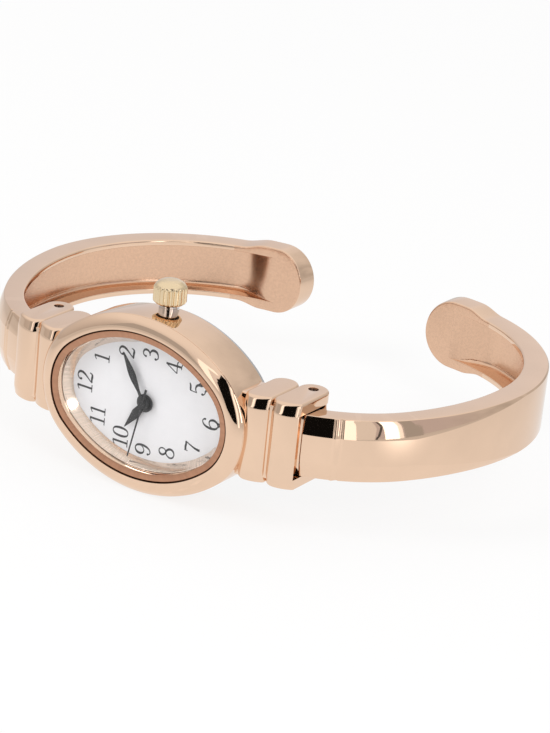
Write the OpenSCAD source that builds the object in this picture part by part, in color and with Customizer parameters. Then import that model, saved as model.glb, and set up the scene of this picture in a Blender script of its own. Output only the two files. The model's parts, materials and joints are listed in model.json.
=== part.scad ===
// Cuff watch: an oval case between two sprung bangle arms.
// X runs from 12 to 6 o'clock, the dial looks along -Y, and Z is the wrist's axis with the crown on top.
// The origin is the centre of the case back's outer face. Everything is in millimetres.

/* [Case] */
// Half length of the case side, from the centre towards 12 or 6
case_half_length = 12.55; // [12.3:0.05:13.2]
// Half width of the case side, from the centre towards 3 or 9
case_half_width = 9.4; // [9.2:0.05:9.9]
// Radius of the case outline at its 12 and 6 ends
end_radius = 7.5; // [7.2:0.1:7.9]
// Height of the seam between case side and bezel, in front of the dial
seam_height = 1.4; // [1.3:0.05:1.6]
// Depth of the case side behind the dial
case_depth = 3.9; // [3.8:0.05:4.4]
// Thickness of the case wall around the movement
case_wall = 1.95; // [1.8:0.05:2.1]
// Height of the step round the back edge of the case
back_step = 0.8; // [0.4:0.1:1]

/* [Bezel and crystal] */
// Height of the bezel's crest in front of the dial
crest_height = 2.23; // [2.15:0.01:2.4]
// Width of the polished dome of the bezel
dome_width = 1.6; // [1.4:0.05:1.7]
// Width of the matt ring inside the dome
ring_width = 0.82; // [0.7:0.02:0.95]
// Thickness of the crystal
crystal_thick = 0.9; // [0.7:0.05:0.95]
// Height of the crystal's outer face in front of the dial
crystal_height = 1.9; // [1.85:0.01:1.95]
// Width of the sloped flange ring, seen from the front
flange_slope = 0.8; // [0.5:0.05:0.9]

/* [Case back] */
// Thickness of the pressed-on case back
back_thick = 0.7; // [0.5:0.05:1]
// How far the case back's edge lies inside the case side
back_inset = 0.5; // [0.4:0.05:0.7]

/* [Lugs and hinges] */
// Distance of the hinge pins from the centre
hinge_x = 16.0; // [15.9:0.05:16.4]
// Distance of the hinge pins behind the dial
hinge_y = 5.3; // [5.1:0.05:5.6]
// Radius of the outer rib of each lug
outer_rib_radius = 1.6; // [1.5:0.05:1.65]
// Radius of the inner rib of each lug
inner_rib_radius = 1.5; // [1.4:0.05:1.6]
// Height of the lugs along the wrist
lug_height = 9.2; // [8.8:0.1:10]
// Distance of the inner rib's front in front of the dial
inner_rib_front = 0.95; // [0.7:0.05:1.1]
// Distance of the outer rib's front in front of the dial
outer_rib_front = 0.4; // [0.3:0.05:0.5]
// Distance of the inner rib's back behind the dial
inner_rib_back = 6.1; // [5.8:0.1:6.4]
// Thickness of the lug's front wall, in front of the arm
front_wall = 0.9; // [0.8:0.05:0.95]
// Diameter of the hinge pins
pin_d = 1.0; // [0.8:0.05:1.1]

/* [Arms] */
// Height of the arms along the wrist
arm_height = 6.6; // [6:0.1:6.8]
// Thickness of the arms, from inner rim to the outer edge of the top face
arm_thick = 2.2; // [2:0.05:2.4]
// How far the outer face stands beyond the edge of the bevel
arm_bulge = 0.55; // [0.4:0.05:0.7]
// Height of each bevel on the outer face, near the hinge
bevel_height = 1.9; // [1:0.1:2.2]
// Radius of the arm's curve next to the hinge
front_arc_radius = 16.5; // [16.3:0.1:16.8]
// Radius of the arm's curve at the side of the wrist
side_arc_radius = 29; // [28:0.5:30]
// Radius of the arm's curve behind the wrist
back_arc_radius = 20; // [19.5:0.1:20.5]
// Thickness of the walls round the trough
trough_wall = 0.65; // [0.55:0.05:0.9]
// Half of the gap between the two tips
tip_gap_half = 8.2; // [7.6:0.1:9]
// Radius of the round paddle at each tip
paddle_radius = 3.85; // [3.6:0.05:4.2]

/* [Hinge spring] */
// Diameter of the spring wire
spring_wire = 0.3; // [0.2:0.02:0.34]
// Turns of each hinge spring
spring_turns = 5; // [3:1:6]

/* [Dial and hands] */
// Thickness of the dial plate
dial_thick = 0.4; // [0.3:0.02:0.45]
// Length of the hour hand
hour_hand_length = 3.95; // [3.4:0.05:4.6]
// Length of the minute hand
minute_hand_length = 5.65; // [5:0.05:6]
// Length of the second hand
second_hand_length = 6.2; // [5.6:0.05:6.3]
// Thickness of the hands
hand_thick = 0.12; // [0.08:0.01:0.14]
// Hour shown
shown_hour = 10; // [0:1:11]
// Minute shown
shown_minute = 9; // [0:1:59]
// Second shown
shown_second = 47; // [0:1:59]

/* [Crown] */
// Diameter of the crown
crown_d = 3.45; // [3.3:0.05:3.8]
// Height of the crown
crown_height = 2.5; // [2.4:0.05:2.8]
// Gap between the case side and the crown's skirt
crown_gap = 0.75; // [0.6:0.05:0.9]
// Flutes round the crown
crown_flutes = 24; // [18:1:26]
// Diameter of the case tube
tube_d = 2.1; // [2:0.02:2.14]
// How far the crown pulls out to set the time
crown_travel = 0.9; // [0.6:0.05:0.9]
// Distance of the stem's axis behind the dial
stem_depth = 2.15; // [2.12:0.01:2.2]

/* [Movement] */
// Width of the movement holder at 12 and 6
holder_end_wall = 2.9; // [2.7:0.05:3]
// Width of the movement holder at 3 and 9
holder_side_wall = 1.15; // [1.05:0.05:1.25]
// Diameter of the battery
battery_d = 4.8; // [4.6:0.1:4.9]
// Thickness of the battery
battery_thick = 2.1; // [1.9:0.05:2.12]
// Thickness of the train wheels
wheel_thick = 0.13; // [0.1:0.01:0.15]
// Teeth of the centre wheel
centre_teeth = 64;
// Teeth of the third wheel
third_teeth = 60;
// Teeth of the second wheel
second_teeth = 40;
// Teeth of the fifth wheel
fifth_teeth = 48;

/* [Hidden] */
$fn = 72;

// Clearances: between resting parts, round turning shafts, and beside the arms
seat_gap = 0.02;
running_gap = 0.03;
hinge_gap = 0.1;
eps = 0.01;

// Four-arc oval: end arcs round (+-oval_c, 0), side arcs round (0, -+oval_d)
oval_c = case_half_length - end_radius;
oval_k = case_half_width - end_radius;
oval_d = (oval_c * oval_c - oval_k * oval_k) / (2 * oval_k);
side_radius = case_half_width + oval_d;
oval_angle = atan(oval_d / oval_c);

// Offsets inside the case outline
skirt_offset = case_wall - 0.43;
shelf_offset = dome_width + ring_width + 0.03;
crystal_offset = case_wall + 0.29;
flange_top_offset = shelf_offset + seat_gap;
flange_foot_offset = flange_top_offset + flange_slope;
dial_offset = case_wall + 0.05;
movement_length = 2 * (case_half_length - dial_offset - holder_end_wall);
movement_width = 2 * (case_half_width - dial_offset - holder_side_wall);
back_recess_offset = 1.2;
back_recess_depth = 0.6;
dome_steps = 8;

// Heights in front of the dial, negative ones behind it
crystal_seat = crystal_height - crystal_thick;
shelf_bottom = crystal_seat - 0.25;
plate_front = -1.1;
plate_back = -1.9;
bridge_front = -3.05;
bridge_back = -3.4;
holder_back = -case_depth + 0.05;
skirt_foot = 0.2;
stem_height = -stem_depth;

// Places of the train's arbors, as [x, y] seen from the front
centre_distance = 2.7;
fifth_distance = 1.8;
rotor_distance = 1.68;
motion_distance = 2.0;
third_at = centre_distance * [cos(240), sin(240)];
fifth_at = fifth_distance * [cos(60), sin(60)];
rotor_at = fifth_at + [rotor_distance, 0];
minute_wheel_at = [0, motion_distance];
battery_at = [-4.6, 2.75];
coil_at = [5.9, -1.8];
foot_places = [[-4.6, -2.6], [2.0, -2.35], [4.2, 2.95]];
dial_foot_places = [[6.1, 4], [-6.1, -4]];
dial_foot_radius = 0.25;
arbor_radius = 0.11;
post_radius = 0.15;
centre_tube_radius = 0.28;
hour_tube_radius = 0.5;
pinion_teeth = 8;

// Levels of the wheels
centre_level = -2.15;
third_level = -2.45;
second_level = -2.73;
fifth_level = -2.98;
cannon_level = -1.05;
hour_level = -0.75;

// Motor, circuit and battery behind the plate
coil_level = -2.5;
coil_length = 4.8;
wire_radius = 0.62;
bobbin_radius = 0.8;
stator_level = -2.65;
stator_thick = 0.3;
rotor_radius = 0.6;
board_level = -3.2;
board_thick = 0.15;
board_edge = 0.35 - movement_width / 2;
quartz_radius = 0.5;
battery_front = -1.3;
battery_step = 0.3;
clip_thick = 0.12;
screw_radius = 0.2;

// Keyless works, on the stem's axis
clutch_bottom = 3.7;
clutch_length = 1.0;
clutch_radius = 1.05;
bearing_length = 0.65;
stem_square = 0.6;
square_start = 2.9;
shank_start = 4.9;
stem_radius = 0.45;
crown_thread = 1.9;
tube_reach = 2.2;
groove_at = 5.3;
groove_width = 0.5;
lever_reach = 2.0;
lever_swing = crown_travel / 2;
clutch_travel = crown_travel / 2;
lever_tilt = asin(lever_swing / lever_reach);
yoke_tilt = asin(clutch_travel / 2 / lever_reach);
lever_thick = 0.26;
lever_at = [lever_reach, groove_at + lever_swing];
yoke_at = [2.4, clutch_bottom + clutch_length / 2 - clutch_travel / 2];

// Arm outline: three tangent arcs; radii are those of the outer edge of the top face
front_arc_start = -70;
front_arc_end = -30;
front_centre = [11.73, 17.25];
side_centre = front_centre - (side_arc_radius - front_arc_radius) * [cos(front_arc_end), sin(front_arc_end)];
back_centre = side_centre + [side_arc_radius - back_arc_radius, 0];
front_arc = [front_centre, front_arc_radius];
side_arc = [side_centre, side_arc_radius];
back_arc = [back_centre, back_arc_radius];
arm_half = arm_height / 2;
rim_edge = 0.15;
paddle_x = tip_gap_half + paddle_radius;
neck_x = paddle_x + 5.0;
shoulder_x = paddle_x + 1.9;
trough_half = arm_half - trough_wall;
trough_floor = arm_bulge - trough_wall;
trough_over = 0.4;
trough_start = -52;
trough_slant = 8.5;
trough_end_x = paddle_x + 4.05;
// Angles of the sections; on the front arc with how far the ridge and the groove swell the face
ridge_at = front_arc_start + 11.5;
groove_from = front_arc_start + 13.2;
front_stations = [[front_arc_start, 0], [front_arc_start + 4, 0], [front_arc_start + 8, 0],
    [ridge_at - 0.9, 0], [ridge_at - 0.5, 0.16], [ridge_at + 0.4, 0.16], [ridge_at + 0.8, 0],
    [groove_from - 0.6, 0], [groove_from - 0.3, -0.17], [groove_from + 0.3, -0.17], [groove_from + 0.6, 0],
    [trough_start, 0], [-46, 0], [-40, 0], [-35, 0]];
arm_side_steps = 8;
side_stations = [for (i = [0 : arm_side_steps]) front_arc_end * (1 - i / arm_side_steps)];
back_steps = 14;
pin_bore = pin_d / 2 + running_gap;
knuckle_radius = outer_rib_radius - hinge_gap;
slot_half = arm_half + hinge_gap;
slot_front = -outer_rib_front + front_wall;
slot_left = hinge_x - outer_rib_radius + seat_gap;
spring_radius = pin_d / 2 + spring_wire + 0.15;
spring_pocket = spring_radius + spring_wire / 2 + 0.15;
spring_pitch = spring_wire + 0.12;
spring_height = spring_pitch * spring_turns;

function polar(r, a) = [r * cos(a), r * sin(a)];
function clock(t) = -t;
function hour_angle() = shown_hour * 30 + shown_minute / 2 + shown_second / 120;
function minute_angle() = shown_minute * 6 + shown_second / 10;
function second_angle() = shown_second * 6;

// Brings a piece built behind the dial's front (Y = 0) to the part's origin on the case back
module from_dial() { translate([0, -case_depth - back_thick, 0]) children(); }

// Turns the dial's own plane, with its height towards the viewer, upright
module dial_plane() { rotate([90, 0, 0]) children(); }

module facing() { from_dial() dial_plane() children(); }

// Flat oval, inset from the case outline
module oval(inset) {
    joint_x = oval_c + (end_radius - inset) * cos(oval_angle);
    for (s = [-1, 1]) translate([s * oval_c, 0]) circle(end_radius - inset);
    intersection() {
        translate([0, -oval_d]) circle(side_radius - inset);
        translate([0, oval_d]) circle(side_radius - inset);
        square([2 * joint_x, 4 * case_half_width], center = true);
    }
}

module oval_plate(inset, low, high) { translate([0, 0, low]) linear_extrude(high - low) oval(inset); }

module oval_ring(outer, inner, low, high) {
    translate([0, 0, low]) linear_extrude(high - low) difference() {
        oval(outer);
        oval(inner);
    }
}

// Closed skin through rings of equal numbers of points; each ring runs clockwise seen along the way
module loft(rings, closed = false) {
    n = len(rings);
    m = len(rings[0]);
    last = (n - 1) * m;
    sides = [for (i = [0 : n - (closed ? 1 : 2)], j = [0 : m - 1])
        let (a = i * m, b = (i + 1) % n * m, k = (j + 1) % m)
        each [[a + k, b + j, a + j], [b + k, b + j, a + k]]];
    caps = closed ? [] : [for (j = [1 : m - 2]) each [[0, j + 1, j], [last, last + j, last + j + 1]]];
    polyhedron([for (r = rings) each r], concat(sides, caps));
}

// Places round the oval, as [centre, radius, angle]
end_steps = 18;
side_steps = 20;
oval_places = [for (s = [0, 180]) each concat(
    [for (i = [0 : end_steps - 1])
        [[oval_c * cos(s), 0], end_radius, s + oval_angle * (2 * i / end_steps - 1)]],
    [for (i = [0 : side_steps - 1])
        [[0, -oval_d * cos(s)], side_radius, s + oval_angle + (180 - 2 * oval_angle) * i / side_steps]])];

function on_arc(centre, radius, a, z) = [centre[0] + radius * cos(a), centre[1] + radius * sin(a), z];

// Sweeps a profile round the oval; its x is 0 on the case outline and negative inside, its y is the height
module oval_sweep(profile) {
    loft([for (s = oval_places) [for (p = profile) on_arc(s[0], s[1] + p[0], s[2], p[1])]], closed = true);
}

// Rounded outline of the movement, grown by a clearance
module movement_outline(grow = 0) {
    corner = 3.8;
    x = movement_length / 2 - corner;
    y = movement_width / 2 - corner;
    for (sx = [-1, 1], sy = [-1, 1]) translate([sx * x, sy * y]) circle(corner + grow);
    square([2 * x, movement_width + 2 * grow], center = true);
    square([movement_length + 2 * grow, 2 * y], center = true);
}

// Rib of a lug: an upright capsule with chamfered top and bottom edges
module rib(x, front, back, radius) {
    edge = 0.25;
    for (y = [front + radius, back - radius]) translate([x, y, 0]) {
        cylinder(r = radius, h = lug_height - 2 * edge, center = true);
        for (s = [0, 1]) mirror([0, 0, s]) translate([0, 0, lug_height / 2 - edge])
            cylinder(r1 = radius, r2 = radius - edge, h = edge);
    }
    translate([x, back - radius, 0]) rotate([90, 0, 0])
        linear_extrude(back - front - 2 * radius) rib_section(radius, edge);
}

module rib_section(radius, edge) {
    h = lug_height / 2;
    polygon([[-radius, -h + edge], [-radius + edge, -h], [radius - edge, -h], [radius, -h + edge],
        [radius, h - edge], [radius - edge, h], [-radius + edge, h], [-radius, h - edge]]);
}

module lug() {
    inner_x = hinge_x - outer_rib_radius - inner_rib_radius + 0.05;
    rib(inner_x, -inner_rib_front, inner_rib_back, inner_rib_radius);
    rib(hinge_x, -outer_rib_front, hinge_y + outer_rib_radius, outer_rib_radius);
    // Root that joins the inner rib to the round of the case
    translate([inner_x - 2.6, -inner_rib_front + 0.75, -lug_height / 2 + 0.25])
        cube([2.6, case_depth + inner_rib_front - 1.1, lug_height - 0.5]);
}

// Slot for the arm's knuckle, and the pin's hole
module lug_cuts() {
    translate([slot_left, slot_front, -slot_half]) cube([6, 12, 2 * slot_half]);
    translate([hinge_x, hinge_y, 0]) cylinder(d = pin_d + 2 * seat_gap, h = lug_height + 1, center = true);
}

module case_body() {
    color("#dcab8c") from_dial() difference() {
        union() {
            dial_plane() {
                oval_plate(0, -case_depth + back_step, seam_height);
                oval_plate(back_inset / 2, -case_depth, -case_depth + back_step);
            }
            for (s = [0, 1]) mirror([s, 0, 0]) lug();
        }
        dial_plane() {
            oval_plate(back_inset - seat_gap, -hinge_y - outer_rib_radius, -case_depth);
            oval_plate(skirt_offset - seat_gap, skirt_foot - seat_gap, seam_height + 1);
            oval_plate(case_wall, -case_depth - 1, seam_height);
            oval_plate(back_recess_offset, -case_depth - 1, -case_depth + back_recess_depth);
        }
        for (s = [0, 1]) mirror([s, 0, 0]) lug_cuts();
        translate([0, stem_depth, case_half_width - 4]) cylinder(d = tube_d + 2 * seat_gap, h = 6);
    }
}

// Half-round dome, then the seat for the matt ring, the crystal's shelf and the skirt inside the case
module bezel() {
    crest_offset = dome_width - 0.1;
    rise = crest_height - seam_height;
    dome_radius = (crest_offset * crest_offset + rise * rise) / (2 * rise);
    first = acos(crest_offset / dome_radius);
    last = acos((crest_offset - dome_width) / dome_radius);
    dome_centre = [-crest_offset, crest_height - dome_radius];
    dome = [for (i = [0 : dome_steps])
        dome_centre + polar(dome_radius, first + (last - first) * i / dome_steps)];
    color("#dcab8c") facing() oval_sweep(concat(
        [[-skirt_offset, skirt_foot], [-skirt_offset, seam_height]], dome,
        [[-dome_width, crystal_height + seat_gap], [-case_wall, crystal_height + seat_gap],
        [-case_wall, crystal_seat], [-shelf_offset, crystal_seat], [-shelf_offset, shelf_bottom],
        [-case_wall, shelf_bottom], [-case_wall, skirt_foot]]));
}

module bezel_ring() {
    low = crystal_height + 2 * seat_gap;
    outer = -dome_width - seat_gap;
    inner = -dome_width - ring_width;
    color("#b27a5c") facing()
        oval_sweep([[outer, low], [outer, low + 0.2], [inner, low + 0.1], [inner, low]]);
}

module crystal() {
    color("#dfe8ea") facing() {
        oval_plate(crystal_offset, crystal_seat + eps, crystal_height - 0.1);
        oval_plate(crystal_offset + 0.1, crystal_height - 0.1, crystal_height);
    }
}

module crystal_gasket() {
    color("#e8e8e0") facing() oval_ring(case_wall + seat_gap, crystal_offset - seat_gap,
        crystal_seat + seat_gap, crystal_height - 3 * seat_gap);
}

// Sloped ring between the dial's edge and the crystal
module flange_ring() {
    top = crystal_seat - running_gap;
    step = shelf_bottom - running_gap;
    color("#dcab8c") facing() oval_sweep([[-dial_offset, seat_gap], [-dial_offset, step],
        [-flange_top_offset, step], [-flange_top_offset, top], [-flange_top_offset - 0.08, top],
        [-flange_foot_offset, seat_gap]]);
}

module dial() {
    color("#f4f4f4") facing() difference() {
        union() {
            oval_plate(dial_offset, -dial_thick, 0);
            for (p = dial_foot_places) translate([p[0], p[1], -dial_thick - 0.8])
                cylinder(r = dial_foot_radius, h = 0.9);
        }
        translate([0, 0, -1]) cylinder(r = hour_tube_radius + 0.15, h = 2);
    }
}

// Hand that points to 12 along -x, from its hub's bore to its tip
module hand(outline, hub, bore, level, turn) {
    facing() translate([0, 0, level]) rotate(clock(turn)) difference() {
        union() {
            linear_extrude(hand_thick) {
                polygon(outline);
                circle(hub);
            }
            translate([0, 0, -0.06]) cylinder(r = bore + 0.16, h = hand_thick + 0.1);
        }
        translate([0, 0, -1]) cylinder(r = bore, h = 2);
    }
}

module hour_hand() {
    r = hour_hand_length;
    color("#2c2c30")
        hand([[0, 0.3], [-0.4 * r, 0.52], [-r, 0.04], [-r, -0.04], [-0.4 * r, -0.52], [0, -0.3]],
            0.95, hour_tube_radius + 0.005, 0.3, hour_angle());
}

module minute_hand() {
    r = minute_hand_length;
    leaf = [[0, 0.16], [-0.25 * r, 0.16], [-0.42 * r, 0.34], [-0.55 * r, 0.42], [-0.7 * r, 0.34], [-r, 0.04]];
    color("#2c2c30") hand(concat(leaf, [for (i = [5 : -1 : 0]) [leaf[i][0], -leaf[i][1]]]),
        0.7, centre_tube_radius + 0.005, 0.56, minute_angle());
}

module second_hand() {
    r = second_hand_length;
    color("#2c2c30")
        hand([[1.5, 0.1], [-0.3, 0.07], [-r, 0.035], [-r, -0.035], [-0.3, -0.07], [1.5, -0.1]],
            0.4, arbor_radius + 0.005, 0.78, second_angle());
}

module movement_holder() {
    color("#f0ede4") facing() difference() {
        oval_plate(dial_offset, holder_back, -dial_thick - seat_gap);
        translate([0, 0, holder_back - 1]) linear_extrude(case_depth + 2) movement_outline(0.05);
        translate([0, 5, stem_height]) rotate([-90, 0, 0]) cylinder(r = stem_radius + running_gap, h = 5);
        translate([0, 0, -case_depth - 0.01]) linear_extrude(0.7) difference() {
            oval(0);
            oval(back_recess_offset + 0.7);
        }
    }
}

// Main plate with its rim under the dial, the battery well and the stem's bearing
module main_plate() {
    rim = 0.7;
    color("#c9ccd0") facing() difference() {
        union() {
            translate([0, 0, plate_back]) linear_extrude(plate_front - plate_back) movement_outline();
            translate([0, 0, plate_front]) linear_extrude(-dial_thick - seat_gap - plate_front)
                difference() {
                    movement_outline();
                    movement_outline(-rim);
                }
            translate([-0.95, movement_width / 2 - bearing_length - 0.05, stem_height - 0.7])
                cube([1.1, bearing_length, plate_back - stem_height + 0.75]);
        }
        translate([battery_at[0], battery_at[1], plate_back - 1])
            cylinder(d = battery_d + 0.1, h = battery_front + running_gap - plate_back + 1);
        translate([coil_at[0], coil_at[1], coil_level]) rotate([90, 0, 0])
            cylinder(r = bobbin_radius + 0.05, h = coil_length + 0.6, center = true);
        translate([-clutch_radius - 0.1, clutch_bottom - clutch_travel - 0.15, -3])
            cube([2 * clutch_radius + 0.2, clutch_length + clutch_travel + 0.3, 2]);
        translate([0, 2.8, stem_height]) rotate([-90, 0, 0]) cylinder(r = stem_radius + running_gap, h = 5);
        translate([0, 0, plate_back - 1]) cylinder(r = centre_tube_radius + running_gap, h = 3);
        for (p = [third_at, fifth_at, rotor_at]) translate([p[0], p[1], plate_back - 1])
            cylinder(r = arbor_radius + running_gap, h = 1.35);
        translate([minute_wheel_at[0], minute_wheel_at[1], plate_front - 0.5])
            cylinder(r = post_radius + running_gap, h = 1);
        for (p = dial_foot_places) translate([p[0], p[1], -3])
            cylinder(r = dial_foot_radius + running_gap, h = 3);
    }
}

module train_bridge() {
    color("#d8d9dc") facing() difference() {
        union() {
            translate([0, 0, bridge_back]) linear_extrude(bridge_front - bridge_back) bridge_outline();
            for (p = foot_places) translate([p[0], p[1], bridge_front - eps])
                cylinder(r = 0.42, h = plate_back - bridge_front + eps);
        }
        for (p = [[0, 0], third_at, fifth_at, rotor_at]) translate([p[0], p[1], bridge_back - 1])
            cylinder(r = arbor_radius + running_gap, h = 2);
        for (p = foot_places) translate([p[0], p[1], bridge_back - 1])
            cylinder(r = screw_radius + seat_gap, h = 3);
    }
}

module bridge_outline() {
    polygon([[-5.2, -2.2], [-5.0, -3.2], [-2.0, -3.4], [2.2, -2.95], [2.65, -2.1], [1.9, -0.6],
        [3.4, 0.6], [4.8, 2.6], [4.6, 3.5], [3.7, 3.5], [2.9, 2.7], [0.9, 2.6], [-0.7, 1.0],
        [-1.7, -0.4], [-3.4, -1.6]]);
}

// Screws of the bridge, one in each foot
module bridge_screws() {
    color("#9aa0a8") facing() for (p = foot_places) translate([p[0], p[1], bridge_back]) difference() {
        union() {
            translate([0, 0, -0.03]) cylinder(r = screw_radius, h = 1.23);
            translate([0, 0, -0.22]) cylinder(r = 0.36, h = 0.2);
        }
        translate([-1, -0.05, -0.3]) cube([2, 0.1, 0.14]);
    }
}

// Points of one straight-sided tooth
function tooth(i, n, m) =
    let (pitch = 360 / n, root = (n / 2 - 1.2) * m, top = (n / 2 + 0.8) * m)
    [for (p = [[root, -0.3], [top, -0.12], [top, 0.12], [root, 0.3]]) polar(p[0], pitch * (i + p[1]))];

module gear_outline(teeth, modul) { polygon([for (i = [0 : teeth - 1]) each tooth(i, teeth, modul)]); }

// Wheel with spokes; its teeth start at the angle given
module spoked_wheel(teeth, modul, start, spokes = 4) {
    rim = (teeth / 2 - 3.2) * modul;
    hub = 0.42;
    spoke_width = 0.22;
    linear_extrude(wheel_thick) difference() {
        rotate(start) gear_outline(teeth, modul);
        difference() {
            circle(rim);
            circle(hub);
            for (i = [0 : spokes - 1]) rotate(i * 360 / spokes)
                translate([0, -spoke_width / 2]) square([rim + 1, spoke_width]);
        }
    }
}

// Pinion of the train, with a gap between two teeth at the angle given
module pinion(modul, towards, height) {
    linear_extrude(height) rotate(towards + 180 / pinion_teeth) gear_outline(pinion_teeth, modul);
}

module arbor(low, high, radius = arbor_radius) {
    translate([0, 0, low]) cylinder(r = radius, h = high - low);
}

function mesh_module(distance, a, b) = 2 * distance / (a + b);

// Modules of the pairs in mesh
centre_module = mesh_module(centre_distance, centre_teeth, pinion_teeth);
third_module = mesh_module(centre_distance, third_teeth, pinion_teeth);
second_module = mesh_module(fifth_distance, second_teeth, pinion_teeth);
fifth_module = mesh_module(rotor_distance, fifth_teeth, pinion_teeth);
cannon_module = mesh_module(motion_distance, 12, 36);
hour_module = mesh_module(motion_distance, 10, 40);

// Wheel and cannon pinion on one tube, which carries the minute hand
module centre_wheel() {
    color("#c8a24a") facing() difference() {
        union() {
            translate([0, 0, centre_level]) spoked_wheel(centre_teeth, centre_module, 240);
            arbor(centre_level - 0.03, 0.7, centre_tube_radius);
            translate([0, 0, cannon_level]) linear_extrude(0.27) rotate(90) gear_outline(12, cannon_module);
        }
        translate([0, 0, -5]) cylinder(r = arbor_radius + running_gap, h = 10);
    }
}

module third_wheel() {
    color("#c8a24a") facing() translate([third_at[0], third_at[1], 0]) {
        translate([0, 0, third_level]) spoked_wheel(third_teeth, third_module, 60);
        translate([0, 0, third_level + wheel_thick]) pinion(centre_module, 60, 0.4);
        arbor(bridge_back, plate_back + 0.3);
    }
}

module second_wheel() {
    color("#c8a24a") facing() {
        translate([0, 0, second_level]) spoked_wheel(second_teeth, second_module, 60);
        translate([0, 0, second_level + wheel_thick]) pinion(third_module, 240, 0.34);
        arbor(bridge_back, 0.92);
    }
}

module fifth_wheel() {
    color("#c8a24a") facing() translate([fifth_at[0], fifth_at[1], 0]) {
        translate([0, 0, fifth_level]) spoked_wheel(fifth_teeth, fifth_module, 0);
        translate([0, 0, fifth_level + wheel_thick]) pinion(second_module, 240, 0.34);
        arbor(bridge_back, plate_back + 0.3);
    }
}

// Magnet rotor of the stepping motor, with its pinion
module rotor() {
    color("#8a8f98") facing() translate([rotor_at[0], rotor_at[1], 0]) {
        translate([0, 0, -2.72]) cylinder(r = rotor_radius, h = 0.5);
        translate([0, 0, fifth_level - 0.02]) pinion(fifth_module, 180, 0.3);
        arbor(bridge_back, plate_back + 0.3);
    }
}

module minute_wheel() {
    color("#c8a24a") facing() translate([minute_wheel_at[0], minute_wheel_at[1], 0]) {
        translate([0, 0, cannon_level + 0.04]) spoked_wheel(36, cannon_module, 270 + 5);
        translate([0, 0, hour_level]) linear_extrude(0.27) rotate(270) gear_outline(10, hour_module);
        arbor(plate_front - 0.45, -dial_thick - 0.05, post_radius);
    }
}

module hour_wheel() {
    color("#c8a24a") facing() difference() {
        union() {
            translate([0, 0, hour_level + 0.02])
                linear_extrude(0.18) rotate(90 + 4.5) gear_outline(40, hour_module);
            arbor(hour_level, 0.42, hour_tube_radius);
        }
        translate([0, 0, -5]) cylinder(r = centre_tube_radius + running_gap, h = 10);
    }
}

// Soft-iron stator with the hole for the rotor and the arms to the coil
module stator() {
    color("#a9adb4") facing() translate([0, 0, stator_level]) linear_extrude(stator_thick) difference() {
        polygon([[1.75, 0.7], [2.2, 0.5], [3.0, 0.5], [3.4, -0.4], [3.4, -4.7], [6.5, -4.7],
            [6.5, -4.3], [4.4, -4.3], [4.4, 0.0], [4.9, 0.9], [6.5, 0.9], [6.5, 1.7], [4.6, 2.3],
            [2.2, 2.4], [1.75, 2.2]]);
        translate(rotor_at) circle(rotor_radius + 0.15);
    }
}

module coil() {
    flange = 0.2;
    color("#b0603a") facing() translate([coil_at[0], coil_at[1], coil_level]) rotate([90, 0, 0]) {
        cylinder(r = wire_radius, h = coil_length, center = true);
        for (s = [-1, 1]) translate([0, 0, s * (coil_length - flange) / 2])
            cylinder(r = bobbin_radius, h = flange, center = true);
    }
}

module circuit_board() {
    color("#2f6b4a") facing() {
        translate([0, board_edge, board_level]) linear_extrude(board_thick)
            polygon([[3.0, 4.5], [4.9, 4.5], [4.9, 0.3], [-2.6, 0], [-3.2, 0.9], [-1.5, 1.0], [0.9, 1.7],
                [2.9, 2.6]]);
        translate([1.2, board_edge + 0.3, board_level - board_thick]) cube([1.4, 1.2, board_thick]);
    }
}

// Quartz oscillator in its can
module quartz_can() {
    can_length = 2.55;
    color("#c0c4c8") facing() translate([0.5, board_edge + 0.4, -2.5]) rotate([0, 90, 0]) {
        cylinder(r = quartz_radius, h = can_length);
        translate([0, 0, can_length]) cylinder(r = quartz_radius - 0.08, h = 0.25);
    }
}

module battery() {
    color("#b9bdc2") facing() translate([battery_at[0], battery_at[1], battery_front - battery_thick]) {
        cylinder(d = battery_d, h = battery_thick - battery_step);
        translate([0, 0, battery_thick - battery_step]) cylinder(d = battery_d - 0.8, h = battery_step);
    }
}

module battery_clip() {
    level = battery_front - battery_thick - seat_gap - clip_thick;
    color("#d0b070") facing() translate([battery_at[0] - 0.5, battery_at[1] - battery_d / 2 - 0.75, level]) {
        cube([1, 3.6, clip_thick]);
        cube([1, 0.6, plate_back - level]);
    }
}

module case_tube() {
    color("#c4c8cc") from_dial() translate([0, stem_depth, case_half_width - case_wall]) difference() {
        cylinder(d = tube_d, h = case_wall + tube_reach);
        translate([0, 0, -1]) cylinder(r = stem_radius + running_gap, h = 8);
    }
}

// Stem: threaded end in the crown, round shank with the lever's groove, and a square for the clutch
module stem() {
    skirt = case_half_width + crown_gap;
    color("#b5b9bf") from_dial() translate([0, stem_depth, 0]) difference() {
        union() {
            translate([0, 0, shank_start]) cylinder(r = stem_radius, h = skirt + crown_thread - shank_start);
            translate([-stem_square / 2, -stem_square / 2, square_start])
                cube([stem_square, stem_square, shank_start - square_start + 0.1]);
        }
        translate([0, 0, groove_at - groove_width / 2]) difference() {
            cylinder(r = 1, h = groove_width);
            translate([0, 0, -1]) cylinder(r = 0.25, h = 3);
        }
    }
}

// Clutch that slides on the stem's square; its end teeth meet the minute wheel
module clutch() {
    square_hole = stem_square + 2 * running_gap;
    color("#9ea3aa") from_dial() translate([0, stem_depth, clutch_bottom]) difference() {
        cylinder(r = clutch_radius, h = clutch_length);
        translate([0, 0, clutch_length / 2 - 0.16]) difference() {
            cylinder(r = 2, h = 0.32);
            translate([0, 0, -1]) cylinder(r = 0.6, h = 3);
        }
        translate([0, 0, clutch_length / 2])
            cube([square_hole, square_hole, 2 * clutch_length], center = true);
        for (i = [0 : 11]) rotate(i * 30) translate([0.6, -0.08, -0.1]) cube([1, 0.16, 0.28]);
    }
}

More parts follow.
